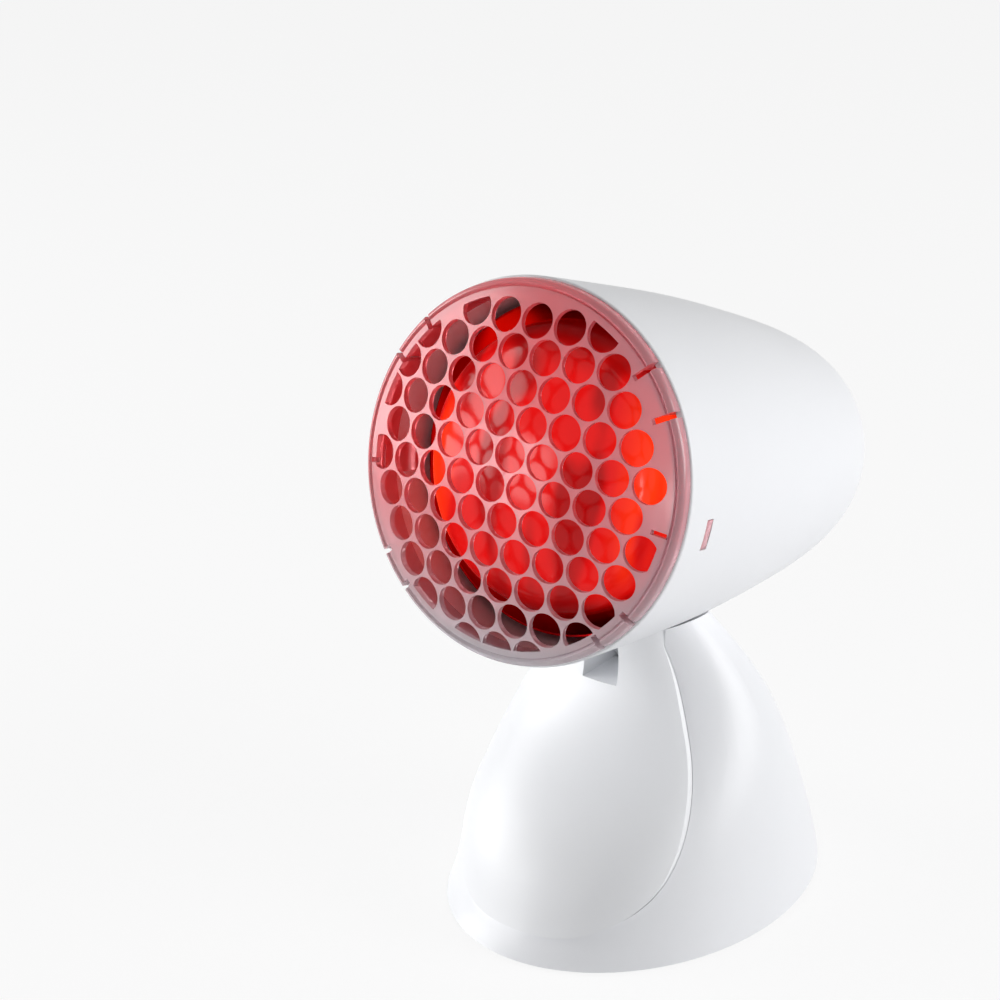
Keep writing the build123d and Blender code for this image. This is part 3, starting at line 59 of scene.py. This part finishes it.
# The head's own axis runs from the middle of its mouth to its tail.
MOUTH = Vector(joints["bulb_turn"]["pos_m"])
REAR = Vector(joints["bulb_turn"]["axis"]).normalized()
HEAD_UP = Vector((0, -REAR.z, REAR.y))
LENS_SENSOR_MM = 36.0

# Finishes.
ACRYLIC_IOR = 1.49
GLASS_IOR = 1.5
RUBY_SPECULAR = 0.2
STEM_GLASS_ROUGHNESS = 0.02
UNEVEN_SCALE = 22.0
UNEVEN_DETAIL = 2.0
GRAIN_DETAIL = 3.0
GRAIN_BUMP = 0.05 * MM
SMALL_GRAIN = 0.5 * MM
# The bulb's streaks, bright and dim, are painted reflections of its reflector in the glass.
STREAK_DETAIL = 1.5
BRIGHT_STREAKS = (0.46, 0.6)
DIM_STREAKS = (0.5, 0.36)
INSULATOR_BLACK = (0.02, 0.02, 0.02)
WHITE = (1.0, 1.0, 1.0, 1.0)

# The rocker's marks.
RAY_START = 0.05
RING_LINE = 0.12
RING_RELIEF = 8

# The studio, in metres.
FLOOR_SIZE = 12.0
FLOOR_ROUGHNESS = 0.9
LIGHT_AIM = (0.0, 0.0, 0.12)
LEFT_LIGHT_PLACE = (-1.27, -0.66, 0.43)
RIGHT_LIGHT_PLACE = (1.25, 0.5, 0.6)
FRONT_LIGHT_PLACE = (-0.68, -1.05, 0.22)
STRIP_LIGHT_PLACE = (0.05, -1.35, 0.3)
SIDE_LIGHT_WIDTH = 0.9
FRONT_LIGHT_WIDTH = 0.34
STRIP_LIGHT_WIDTH = 0.12
CLIP_START = 0.01


# ------------------------------------------------------------------ properties
def colour(name, description, default):
    """A colour that a user can change."""
    return bpy.props.FloatVectorProperty(
        name=name,
        description=description,
        default=default,
        size=3,
        min=0.0,
        max=1.0,
        subtype="COLOR",
    )


def share(name, description, default, top=1.0):
    """A plain number from nought to top."""
    return bpy.props.FloatProperty(
        name=name, description=description, default=default, min=0.0, max=top, subtype="FACTOR"
    )


def length(name, description, default_mm):
    """A length, given in millimetres and kept in metres."""
    return bpy.props.FloatProperty(
        name=name,
        description=description,
        default=default_mm * MM,
        min=0.0,
        unit="LENGTH",
        subtype="DISTANCE",
    )


def turn(name, description, degrees):
    """An angle, given in degrees and kept in radians."""
    return bpy.props.FloatProperty(
        name=name,
        description=description,
        default=math.radians(degrees),
        unit="ROTATION",
        subtype="ANGLE",
    )


class HeatLampShellFinish(bpy.types.PropertyGroup):
    """The white moulded shells."""

    shell: colour("Shell", "Colour of the white housings", (0.87, 0.88, 0.905))
    panel: colour("Panel", "Colour of the front panel", (0.875, 0.885, 0.905))
    plate: colour("Base plate", "Colour of the plate underneath", (0.78, 0.79, 0.81))
    roughness: share("Roughness", "Satin gloss of the white mouldings", 0.38)
    grain: length("Grain", "Size of the fine mould grain", 0.9)
    grain_depth: share("Grain depth", "How deep the mould grain is", 0.02)


class HeatLampGrilleFinish(bpy.types.PropertyGroup):
    """The clear grille. Its tints stand for the red light behind the clear plastic."""

    left: colour("Left tint", "Tint at the grille's upper left", (1.0, 0.27, 0.3))
    right: colour("Right tint", "Tint at the grille's right", (0.84, 0.46, 0.51))
    low: colour("Low tint", "Tint at the grille's lower edge", (0.78, 0.72, 0.76))
    roughness: share("Roughness", "Roughness of the clear moulding", 0.2)
    clearness: share("Clearness", "How much light passes through", 0.5)
    near: length("Tint start", "Distance from the middle at which the tint starts to change", 4.0)
    reach: length("Tint reach", "Distance from the middle at which the tint has changed", 55.0)


class HeatLampBulbFinish(bpy.types.PropertyGroup):
    """The red reflector bulb. Its glow is painted on the glass, and no light comes from the filament."""

    red: colour("Red", "Colour of the ruby glass", (0.34, 0.002, 0.003))
    roughness: share("Roughness", "Roughness of the ruby glass", 0.13)
    # The hot sides are painted reflections of the reflector. The darkening above and below is painted
    # shade.
    hot_side: length("Hot from", "Distance from the middle at which the hot sides begin", 24.0)
    painted_shade_rise: length("Dark from", "Distance above and below at which it darkens", 30.0)
    edge: length("Edge", "Radius of the bulb's edge", 47.0)
    streak_scale: share("Streaks", "How many streaks the reflector throws", 60.0, top=200.0)
    streak_stretch: share("Streak shape", "Height scale of the streaks", 0.22)
    ember: colour("Ember", "Colour of the glow through the glass", (0.55, 0.004, 0.003))
    hot: colour("Hot band", "Colour of the glow round the shoulder", (1.0, 0.045, 0.004))
    dim: colour("Dim", "Colour of the dim streaks", (0.2, 0.001, 0.001))
    dark: colour("Dark", "Colour of the glow above and below", (0.035, 0.0, 0.0))
    glow: share("Glow", "Strength of the glow through the glass", 1.0, top=10.0)


class HeatLampInnerFinish(bpy.types.PropertyGroup):
    """The metal, ceramic and dark pieces."""

    shield: colour("Shield", "Red that stands for the bulb's light on bare aluminium", (0.62, 0.006, 0.009))
    steel: colour("Steel", "Zinc-plated steel", (0.62, 0.62, 0.63))
    brass: colour("Brass", "Contacts, cap and terminals", (0.72, 0.55, 0.28))
    bronze: colour("Bronze", "Sintered bush of the tilt joint", (0.5, 0.33, 0.17))
    ceramic: colour("Ceramic", "Glazed lampholder", (0.88, 0.87, 0.83))
    black: colour("Black plastic", "Switch and its rocker", (0.018, 0.018, 0.02))
    dark: colour("Dark plastic", "Cord clamp", (0.1, 0.1, 0.11))
    rubber: colour("Rubber", "Foot ring and inlet grommet", (0.045, 0.045, 0.048))
    nylon: colour("Nylon", "Terminal block", (0.83, 0.81, 0.74))
    sleeve: colour("Lead sleeve", "Heat-proof sleeves of the leads", (0.85, 0.84, 0.79))
    tungsten: colour("Tungsten", "Filament wire", (0.3, 0.3, 0.31))


class HeatLampMarks(bpy.types.PropertyGroup):
    """The on and off marks of the rocker."""

    height: length("Mark height", "Height of each mark", 3.0)
    stroke: length("Stroke", "Width of the marks' lines", 0.5)
    stand: length("Relief", "How far the marks stand up", 0.08)
    spacing: length("Spacing", "Distance of each mark from the rocker's middle", 4.2)
    ink: colour("Ink", "Colour of the marks", (0.85, 0.85, 0.85))


class HeatLampStudio(bpy.types.PropertyGroup):
    """Camera, lights and floor."""

    azimuth: turn("Azimuth", "Camera's place round the lamp", 37.663)
    elevation: turn("Elevation", "Camera's height above the floor", 21.902)
    roll: turn("Roll", "Camera's roll", -1.1)
    place: bpy.props.FloatVectorProperty(
        name="Place",
        description="Where the camera stands",
        default=(0.4465130, -0.6518430, 0.4592280),
        size=3,
        subtype="TRANSLATION",
        unit="LENGTH",
    )
    lens: bpy.props.FloatProperty(
        name="Lens", description="Focal length in millimetres", default=91.37, min=1.0
    )
    floor: colour("Floor", "Colour of the floor", (0.9, 0.9, 0.91))
    floor_glow: share("Floor brightness", "Share of plain white in what the camera sees", 0.88)
    world: share("Sky", "Strength of the even light all round", 0.14, top=2.0)
    left_power: share("Left light", "Watts of the large light at the left", 15.0, top=50.0)
    right_power: share("Right light", "Watts of the large light at the right", 15.0, top=50.0)
    front_power: share("Front light", "Watts of the light before the grille", 2.6, top=50.0)
    strip_power: share("Strip light", "Watts of the small light in the glass", 0.7, top=50.0)


PROPERTY_GROUPS = {
    "heat_lamp_shells": HeatLampShellFinish,
    "heat_lamp_grille": HeatLampGrilleFinish,
    "heat_lamp_bulb": HeatLampBulbFinish,
    "heat_lamp_inner": HeatLampInnerFinish,
    "heat_lamp_marks": HeatLampMarks,
    "heat_lamp_studio": HeatLampStudio,
}


# ------------------------------------------------------------------ materials
def new_material(name):
    """A material of one Principled shader. Returns it, its nodes, its links and the shader."""
    material = bpy.data.materials.new(name)
    material.use_nodes = True
    tree = material.node_tree
    return material, tree.nodes, tree.links, tree.nodes["Principled BSDF"]


def moulded_group():
    """Node group: a fine grain and a slight unevenness of colour and gloss, as a moulding has."""
    name = "Moulded surface"
    if name in bpy.data.node_groups:
        return bpy.data.node_groups[name]
    group = bpy.data.node_groups.new(name, "ShaderNodeTree")
    face = group.interface
    face.new_socket("Color", in_out="INPUT", socket_type="NodeSocketColor")
    for label, value in (("Uneven", 0.02), ("Grain size", 0.001), ("Roughness", 0.4)):
        face.new_socket(label, in_out="INPUT", socket_type="NodeSocketFloat").default_value = value
    face.new_socket("Color", in_out="OUTPUT", socket_type="NodeSocketColor")
    face.new_socket("Roughness", in_out="OUTPUT", socket_type="NodeSocketFloat")
    face.new_socket("Height", in_out="OUTPUT", socket_type="NodeSocketFloat")
    nodes_, links = group.nodes, group.links
    given = nodes_.new("NodeGroupInput")
    put_out = nodes_.new("NodeGroupOutput")
    place = nodes_.new("ShaderNodeTexCoord")
    broad = nodes_.new("ShaderNodeTexNoise")
    broad.inputs["Scale"].default_value = UNEVEN_SCALE
    broad.inputs["Detail"].default_value = UNEVEN_DETAIL
    fine = nodes_.new("ShaderNodeTexNoise")
    fine.inputs["Detail"].default_value = GRAIN_DETAIL
    per_metre = nodes_.new("ShaderNodeMath")
    per_metre.operation = "DIVIDE"
    per_metre.inputs[0].default_value = 1.0
    centred = nodes_.new("ShaderNodeMath")
    centred.operation = "SUBTRACT"
    centred.inputs[1].default_value = 0.5
    amount = nodes_.new("ShaderNodeMath")
    amount.operation = "MULTIPLY"
    value = nodes_.new("ShaderNodeMath")
    value.operation = "ADD"
    value.inputs[1].default_value = 1.0
    shade = nodes_.new("ShaderNodeHueSaturation")
    gloss = nodes_.new("ShaderNodeMath")
    gloss.operation = "ADD"
    links.new(place.outputs["Object"], broad.inputs["Vector"])
    links.new(place.outputs["Object"], fine.inputs["Vector"])
    links.new(given.outputs["Grain size"], per_metre.inputs[1])
    links.new(per_metre.outputs[0], fine.inputs["Scale"])
    links.new(broad.outputs["Fac"], centred.inputs[0])
    links.new(centred.outputs[0], amount.inputs[0])
    links.new(given.outputs["Uneven"], amount.inputs[1])
    links.new(amount.outputs[0], value.inputs[0])
    links.new(value.outputs[0], shade.inputs["Value"])
    links.new(given.outputs["Color"], shade.inputs["Color"])
    links.new(given.outputs["Roughness"], gloss.inputs[0])
    links.new(amount.outputs[0], gloss.inputs[1])
    links.new(shade.outputs["Color"], put_out.inputs["Color"])
    links.new(gloss.outputs[0], put_out.inputs["Roughness"])
    links.new(fine.outputs["Fac"], put_out.inputs["Height"])
    return group


def moulded(name, tone, roughness, grain, depth, uneven=0.02):
    """A moulded plastic or rubber, with its grain as a bump."""
    material, nodes_, links, shader = new_material(name)
    group = nodes_.new("ShaderNodeGroup")
    group.node_tree = moulded_group()
    group.inputs["Color"].default_value = (*tone, 1.0)
    group.inputs["Uneven"].default_value = uneven
    group.inputs["Grain size"].default_value = grain
    group.inputs["Roughness"].default_value = roughness
    bump = nodes_.new("ShaderNodeBump")
    bump.inputs["Strength"].default_value = depth
    bump.inputs["Distance"].default_value = GRAIN_BUMP
    links.new(group.outputs["Color"], shader.inputs["Base Color"])
    links.new(group.outputs["Roughness"], shader.inputs["Roughness"])
    links.new(group.outputs["Height"], bump.inputs["Height"])
    links.new(bump.outputs["Normal"], shader.inputs["Normal"])
    return material


def plain(name, tone, roughness, metallic=0.0):
    """A material of one colour."""
    material, nodes_, links, shader = new_material(name)
    shader.inputs["Base Color"].default_value = (*tone, 1.0)
    shader.inputs["Roughness"].default_value = roughness
    shader.inputs["Metallic"].default_value = metallic
    return material


def finish_nodes(material, *names):
    """Gives these pieces the material in every slot of their objects."""
    for name in names:
        piece = nodes[name]
        for slot in piece.material_slots:
            slot.link = "OBJECT"
            slot.material = material


def clear_selection():
    """Leaves nothing selected and no mode but object mode."""
    if bpy.context.object and bpy.context.object.mode != "OBJECT":
        bpy.ops.object.mode_set(mode="OBJECT")
    bpy.ops.object.select_all(action="DESELECT")


# ------------------------------------------------------------------ pieces
class FinishShells(bpy.types.Operator):
    """Give the housings, the front panel and the base plate their white plastic"""

    bl_idname = "heat_lamp.shells"
    bl_label = "White Shells"

    def execute(self, context):
        look = context.scene.heat_lamp_shells
        shell = moulded(
            "white shell", look.shell, look.roughness, look.grain, look.grain_depth
        )
        panel = moulded(
            "white panel", look.panel, look.roughness, look.grain, look.grain_depth
        )
        plate = moulded("base plate", look.plate, look.roughness, look.grain, look.grain_depth)
        finish_nodes(shell, "base_shell", "head_housing")
        finish_nodes(panel, "front_panel")
        finish_nodes(plate, "base_plate")
        return {"FINISHED"}


class FinishGrille(bpy.types.Operator):
    """Give the grille its clear plastic, with the bulb's red light painted on it as a tint that changes
    across it
    """

    bl_idname = "heat_lamp.grille"
    bl_label = "Clear Grille"

    def execute(self, context):
        look = context.scene.heat_lamp_grille
        material, nodes_, links, shader = new_material("clear grille painted red light")
        shader.inputs["Roughness"].default_value = look.roughness
        shader.inputs["Transmission Weight"].default_value = look.clearness
        shader.inputs["IOR"].default_value = ACRYLIC_IOR
        # Painted light: the tint stands for the bulb's red light in the clear plastic. It is reddest at the
        # left and top, and paler towards the right and the lower edge.
        place = nodes_.new("ShaderNodeTexCoord")
        split = nodes_.new("ShaderNodeSeparateXYZ")
        across = nodes_.new("ShaderNodeMapRange")
        across.inputs["From Min"].default_value = look.near
        across.inputs["From Max"].default_value = look.reach
        down = nodes_.new("ShaderNodeMapRange")
        down.inputs["From Min"].default_value = MOUTH.z - look.near
        down.inputs["From Max"].default_value = MOUTH.z - look.reach
        sideways = nodes_.new("ShaderNodeMix")
        sideways.data_type = "RGBA"
        sideways.inputs["A"].default_value = (*look.left, 1.0)
        sideways.inputs["B"].default_value = (*look.right, 1.0)
        whole = nodes_.new("ShaderNodeMix")
        whole.data_type = "RGBA"
        whole.inputs["B"].default_value = (*look.low, 1.0)
        links.new(place.outputs["Object"], split.inputs["Vector"])
        links.new(split.outputs["X"], across.inputs["Value"])
        links.new(split.outputs["Z"], down.inputs["Value"])
        links.new(across.outputs["Result"], sideways.inputs["Factor"])
        links.new(down.outputs["Result"], whole.inputs["Factor"])
        links.new(sideways.outputs["Result"], whole.inputs["A"])
        links.new(whole.outputs["Result"], shader.inputs["Base Color"])
        finish_nodes(material, "protective_grille")
        return {"FINISHED"}


class FinishBulb(bpy.types.Operator):
    """Give the bulb its ruby glass, brass cap and inner pieces"""

    bl_idname = "heat_lamp.bulb"
    bl_label = "Reflector Bulb"

    def execute(self, context):
        look = context.scene.heat_lamp_bulb
        inner = context.scene.heat_lamp_inner
        glass, nodes_, links, shader = new_material("ruby glass")
        shader.inputs["Base Color"].default_value = (*look.red, 1.0)
        shader.inputs["Roughness"].default_value = look.roughness
        shader.inputs["IOR"].default_value = GLASS_IOR
        shader.inputs["Specular IOR Level"].default_value = RUBY_SPECULAR
        shader.inputs["Emission Strength"].default_value = look.glow
        self.glow_colour(nodes_, links, look, shader)
        finish_nodes(glass, "bulb_glass")
        finish_nodes(plain("cap brass", inner.brass, 0.3, 1.0), "bulb_cap", "bulb_contact")
        finish_nodes(plain("cap insulator", INSULATOR_BLACK, 0.1), "bulb_insulator")
        mount, nodes_, links, shader = new_material("clear stem glass")
        shader.inputs["Roughness"].default_value = STEM_GLASS_ROUGHNESS
        shader.inputs["Transmission Weight"].default_value = 1.0
        finish_nodes(mount, "filament_mount")
        finish_nodes(plain("tungsten", inner.tungsten, 0.4, 1.0), "filament")
        return {"FINISHED"}

    def ramp_over(self, nodes_, links, value, start, end):
        """Nought at start, one at end and smooth between, of a value socket."""
        ramp = nodes_.new("ShaderNodeMapRange")
        ramp.interpolation_type = "SMOOTHSTEP"
        ramp.inputs["From Min"].default_value = start
        ramp.inputs["From Max"].default_value = end
        links.new(value, ramp.inputs["Value"])
        return ramp.outputs["Result"]

    def blend_colours(self, nodes_, links, amount, first, second):
        """A mix of two colours, each a plain one or a socket."""
        mix = nodes_.new("ShaderNodeMix")
        mix.data_type = "RGBA"
        links.new(amount, mix.inputs["Factor"])
        for letter, given in (("A", first), ("B", second)):
            if isinstance(given, bpy.types.NodeSocket):
                links.new(given, mix.inputs[letter])
            else:
                mix.inputs[letter].default_value = (*given, 1.0)
        return mix.outputs["Result"]

    def product(self, nodes_, links, first, second):
        """Two value sockets multiplied."""
        times = nodes_.new("ShaderNodeMath")
        times.operation = "MULTIPLY"
        links.new(first, times.inputs[0])
        links.new(second, times.inputs[1])
        return times.outputs[0]

    def glow_colour(self, nodes_, links, look, shader):
        """Links the painted glow: ember red, hot streaks of painted reflection at both sides, and painted
        shade above and below.
        """
        place = nodes_.new("ShaderNodeTexCoord")
        split = nodes_.new("ShaderNodeSeparateXYZ")
        links.new(place.outputs["Object"], split.inputs["Vector"])
        rise = nodes_.new("ShaderNodeVectorMath")
        rise.operation = "DOT_PRODUCT"
        rise.inputs[1].default_value = HEAD_UP
        links.new(place.outputs["Object"], rise.inputs[0])
        middle = MOUTH.dot(HEAD_UP)
        side = split.outputs["X"]
        height = rise.outputs["Value"]
        left = self.ramp_over(nodes_, links, side, -look.hot_side, -look.edge)
        right = self.ramp_over(nodes_, links, side, look.hot_side, look.edge)
        over = self.ramp_over(nodes_, links, height, middle + look.painted_shade_rise, middle + look.edge)
        under = self.ramp_over(nodes_, links, height, middle - look.painted_shade_rise, middle - look.edge)
        long_way = nodes_.new("ShaderNodeMapping")
        long_way.inputs["Scale"].default_value = (1.0, 1.0, look.streak_stretch)
        links.new(place.outputs["Object"], long_way.inputs["Vector"])
        streaks = nodes_.new("ShaderNodeTexNoise")
        streaks.inputs["Scale"].default_value = look.streak_scale
        streaks.inputs["Detail"].default_value = STREAK_DETAIL
        links.new(long_way.outputs["Vector"], streaks.inputs["Vector"])
        # Painted reflections: the streaks stand for the reflector's pattern in the glass, dim all over and
        # hot at both sides.
        bright = self.ramp_over(nodes_, links, streaks.outputs["Fac"], *BRIGHT_STREAKS)
        dim = self.ramp_over(nodes_, links, streaks.outputs["Fac"], *DIM_STREAKS)
        tone = self.blend_colours(nodes_, links, dim, look.ember, look.dim)
        painted_streaks_left = self.product(nodes_, links, left, bright)
        painted_streaks_right = self.product(nodes_, links, right, bright)
        tone = self.blend_colours(nodes_, links, painted_streaks_left, tone, look.hot)
        tone = self.blend_colours(nodes_, links, painted_streaks_right, tone, look.hot)
        # Painted shade: the glow turns to the dark colour above and below the middle.
        tone = self.blend_colours(nodes_, links, over, tone, look.dark)
        tone = self.blend_colours(nodes_, links, under, tone, look.dark)
        links.new(tone, shader.inputs["Emission Color"])


class FinishMetal(bpy.types.Operator):
    """Give the heat shield, fixings, contacts and tilt joint their metals"""

    bl_idname = "heat_lamp.metal"
    bl_label = "Metal Pieces"

    def execute(self, context):
        look = context.scene.heat_lamp_inner
        # Painted light: the shield's red stands for the bulb's red light reflected in bare aluminium.
        finish_nodes(plain("aluminium painted with bulb light", look.shield, 0.14, 1.0), "heat_shield")
        finish_nodes(
            plain("zinc-plated steel", look.steel, 0.35, 1.0),
            "base_screws",
            "tilt_axle",
            "axle_washers",
            "spring_screw",
            "block_screw",
            "clamp_screws",
            "holder_bracket",
            "bracket_screws",
            "holder_screws",
        )
        finish_nodes(plain("spring steel", look.steel, 0.22, 1.0), "detent_spring")
        finish_nodes(
            plain("contact brass", look.brass, 0.28, 1.0),
            "switch_terminals",
            "lampholder_sleeve",
            "lampholder_contact",
        )
        finish_nodes(plain("sintered bronze", look.bronze, 0.5, 1.0), "tilt_bush")
        return {"FINISHED"}


class FinishSmallMouldings(bpy.types.Operator):
    """Give the switch, grommet, foot ring, block, clamp, leads and lampholder their finishes"""

    bl_idname = "heat_lamp.small_mouldings"
    bl_label = "Small Mouldings"

    def execute(self, context):
        look = context.scene.heat_lamp_inner
        finish_nodes(
            moulded("black switch plastic", look.black, 0.35, SMALL_GRAIN, 0.03),
            "switch_body",
            "switch_rocker",
        )
        finish_nodes(moulded("dark clamp plastic", look.dark, 0.5, SMALL_GRAIN, 0.05), "cord_clamp")
        finish_nodes(
            moulded("black rubber", look.rubber, 0.75, SMALL_GRAIN, 0.2), "foot_ring", "cord_inlet"
        )
        finish_nodes(moulded("nylon block", look.nylon, 0.45, SMALL_GRAIN, 0.03), "terminal_block")
        finish_nodes(
            moulded("woven lead sleeve", look.sleeve, 0.8, SMALL_GRAIN, 0.4),
            "lamp_leads",
            "switch_leads",
            "head_leads",
        )
        finish_nodes(plain("glazed ceramic", look.ceramic, 0.12), "lampholder_body")
        return {"FINISHED"}


class MakeRockerMarks(bpy.types.Operator):
    """Add the on and off marks that stand on the two halves of the switch's rocker"""

    bl_idname = "heat_lamp.rocker_marks"
    bl_label = "Rocker Marks"

    def execute(self, context):
        look = context.scene.heat_lamp_marks
        rocker = nodes["switch_rocker"]
        inlet = next(m for m in record["mounts"] if m["name"] == "cord_inlet")
        outward = Vector(inlet["axis"]).normalized()
        upward = Vector((0, -outward.z, outward.y))
        upward = upward if upward.z > 0 else -upward
        low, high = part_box("switch_rocker")
        middle = (Vector(low) + Vector(high)) / 2
        ink = plain("mark ink", look.ink, 0.5)
        for name, side in (("rocker_mark_on", 1), ("rocker_mark_off", -1)):
            start = middle + upward * (side * look.spacing) + outward * RAY_START
            found, spot, normal, _ = rocker.ray_cast(start, -outward)
            if not found:
                raise RuntimeError(name + " finds no rocker under it")
            clear_selection()
            if side > 0:
                bpy.ops.mesh.primitive_cube_add(size=1.0)
                scale = (look.stroke, look.height, 2 * look.stand)
            else:
                bpy.ops.mesh.primitive_torus_add(
                    major_radius=0.5,
                    minor_radius=RING_LINE,
                    major_segments=48,
                    minor_segments=8,
                )
                across = look.height - look.stroke
                scale = (across, across, RING_RELIEF * look.stand)
            mark = context.object
            mark.name = name
            bpy.ops.object.mode_set(mode="EDIT")
            bpy.ops.mesh.select_all(action="SELECT")
            bpy.ops.transform.resize(value=scale)
            bpy.ops.object.mode_set(mode="OBJECT")
            right = upward.cross(normal).normalized()
            rise = normal.cross(right).normalized()
            turned = Matrix((right, rise, normal)).transposed().to_4x4()
            mark.data.transform(Matrix.Translation(spot) @ turned)
            mark.data.materials.append(ink)
            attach(mark, "rocker")
        return {"FINISHED"}


def soft_light(name, place, aim, width, power):
    """A large square light that faces a point."""
    light = bpy.data.lights.new(name, "AREA")
    light.size = width
    light.energy = power
    lamp = bpy.data.objects.new(name, light)
    bpy.context.scene.collection.objects.link(lamp)
    lamp.location = place
    lamp.rotation_euler = (Vector(aim) - Vector(place)).to_track_quat("-Z", "Y").to_euler()
    return lamp


class SetStudio(bpy.types.Operator):
    """Add the floor, the lights and the camera"""

    bl_idname = "heat_lamp.studio"
    bl_label = "Studio"

    def execute(self, context):
        look = context.scene.heat_lamp_studio
        self.floor(look)
        self.lights(context, look)
        self.camera(context, look)
        context.scene.view_settings.view_transform = "Standard"
        return {"FINISHED"}

    def seen_rays(self, nodes_, links, ray):
        """One for what is seen directly, in gloss or through a clear piece, else nought."""
        straight = nodes_.new("ShaderNodeMath")
        straight.operation = "MAXIMUM"
        either = nodes_.new("ShaderNodeMath")
        either.operation = "MAXIMUM"
        links.new(ray.outputs["Is Camera Ray"], straight.inputs[0])
        links.new(ray.outputs["Is Transmission Ray"], straight.inputs[1])
        links.new(straight.outputs[0], either.inputs[0])
        links.new(ray.outputs["Is Glossy Ray"], either.inputs[1])
        return either.outputs[0]

    def floor(self, look):
        clear_selection()
        bpy.ops.mesh.primitive_plane_add(size=FLOOR_SIZE)
        floor = bpy.context.object
        floor.name = "studio_floor"
        material, nodes_, links, shader = new_material("studio floor")
        shader.inputs["Base Color"].default_value = (*look.floor, 1.0)
        shader.inputs["Roughness"].default_value = FLOOR_ROUGHNESS
        white = nodes_.new("ShaderNodeEmission")
        white.inputs["Color"].default_value = WHITE
        ray = nodes_.new("ShaderNodeLightPath")
        seen = nodes_.new("ShaderNodeMath")
        seen.operation = "MULTIPLY"
        seen.inputs[1].default_value = look.floor_glow
        mix = nodes_.new("ShaderNodeMixShader")
        links.new(self.seen_rays(nodes_, links, ray), seen.inputs[0])
        links.new(seen.outputs[0], mix.inputs["Fac"])
        links.new(shader.outputs[0], mix.inputs[1])
        links.new(white.outputs[0], mix.inputs[2])
        links.new(mix.outputs[0], nodes_["Material Output"].inputs["Surface"])
        floor.data.materials.append(material)

    def lights(self, context, look):
        lamps = [
            soft_light("left_light", LEFT_LIGHT_PLACE, LIGHT_AIM, SIDE_LIGHT_WIDTH, look.left_power),
            soft_light("right_light", RIGHT_LIGHT_PLACE, LIGHT_AIM, SIDE_LIGHT_WIDTH, look.right_power),
            soft_light("front_light", FRONT_LIGHT_PLACE, LIGHT_AIM, FRONT_LIGHT_WIDTH, look.front_power),
            soft_light("strip_light", STRIP_LIGHT_PLACE, LIGHT_AIM, STRIP_LIGHT_WIDTH, look.strip_power),
        ]
        world = bpy.data.worlds.new("studio sky")
        context.scene.world = world
        world.use_nodes = True
        nodes_, links = world.node_tree.nodes, world.node_tree.links
        sky = nodes_["Background"]
        sky.inputs["Strength"].default_value = look.world
        white = nodes_.new("ShaderNodeBackground")
        ray = nodes_.new("ShaderNodeLightPath")
        mix = nodes_.new("ShaderNodeMixShader")
        for background in (sky, white):
            background.inputs["Color"].default_value = WHITE
        links.new(self.seen_rays(nodes_, links, ray), mix.inputs["Fac"])
        links.new(sky.outputs[0], mix.inputs[1])
        links.new(white.outputs[0], mix.inputs[2])
        links.new(mix.outputs[0], nodes_["World Output"].inputs["Surface"])

    def camera(self, context, look):
        data = bpy.data.cameras.new("studio_camera")
        data.sensor_width = LENS_SENSOR_MM
        data.lens = look.lens
        data.clip_start = CLIP_START
        camera = bpy.data.objects.new("studio_camera", data)
        context.scene.collection.objects.link(camera)
        flat = math.cos(look.elevation)
        back = Vector(
            (
                math.sin(look.azimuth) * flat,
                -math.cos(look.azimuth) * flat,
                math.sin(look.elevation),
            )
        )
        level = Vector((0, 0, 1)).cross(back).normalized()
        steep = back.cross(level)
        right = math.cos(look.roll) * level + math.sin(look.roll) * steep
        up = math.cos(look.roll) * steep - math.sin(look.roll) * level
        turned = Matrix((right, up, back)).transposed().to_4x4()
        camera.matrix_world = Matrix.Translation(Vector(look.place)) @ turned
        context.scene.camera = camera


OPERATORS = (
    FinishShells,
    FinishGrille,
    FinishBulb,
    FinishMetal,
    FinishSmallMouldings,
    MakeRockerMarks,
    SetStudio,
)


class HeatLampPanel(bpy.types.Panel):
    """Sizes, colours and buttons of the heat lamp"""

    bl_idname = "VIEW3D_PT_heat_lamp"
    bl_label = "Infrared Heat Lamp"
    bl_space_type = "VIEW_3D"
    bl_region_type = "UI"
    bl_category = SIDEBAR_TAB

    def draw(self, context):
        for operator in OPERATORS:
            self.layout.operator(operator.bl_idname)
        for name in PROPERTY_GROUPS:
            group = getattr(context.scene, name)
            box = self.layout.box()
            for field in group.bl_rna.properties:
                if field.identifier not in {"rna_type", "name"}:
                    box.prop(group, field.identifier)


def register():
    for name, group in PROPERTY_GROUPS.items():
        bpy.utils.register_class(group)
        setattr(bpy.types.Scene, name, bpy.props.PointerProperty(type=group))
    for operator in OPERATORS:
        bpy.utils.register_class(operator)
    bpy.utils.register_class(HeatLampPanel)


def unregister():
    bpy.utils.unregister_class(HeatLampPanel)
    for operator in reversed(OPERATORS):
        bpy.utils.unregister_class(operator)
    for name, group in reversed(PROPERTY_GROUPS.items()):
        delattr(bpy.types.Scene, name)
        bpy.utils.unregister_class(group)


def main():
    register()
    bpy.ops.heat_lamp.shells()
    bpy.ops.heat_lamp.grille()
    bpy.ops.heat_lamp.bulb()
    bpy.ops.heat_lamp.metal()
    bpy.ops.heat_lamp.small_mouldings()
    bpy.ops.heat_lamp.rocker_marks()
    bpy.ops.heat_lamp.studio()


if __name__ == "__main__":
    main()
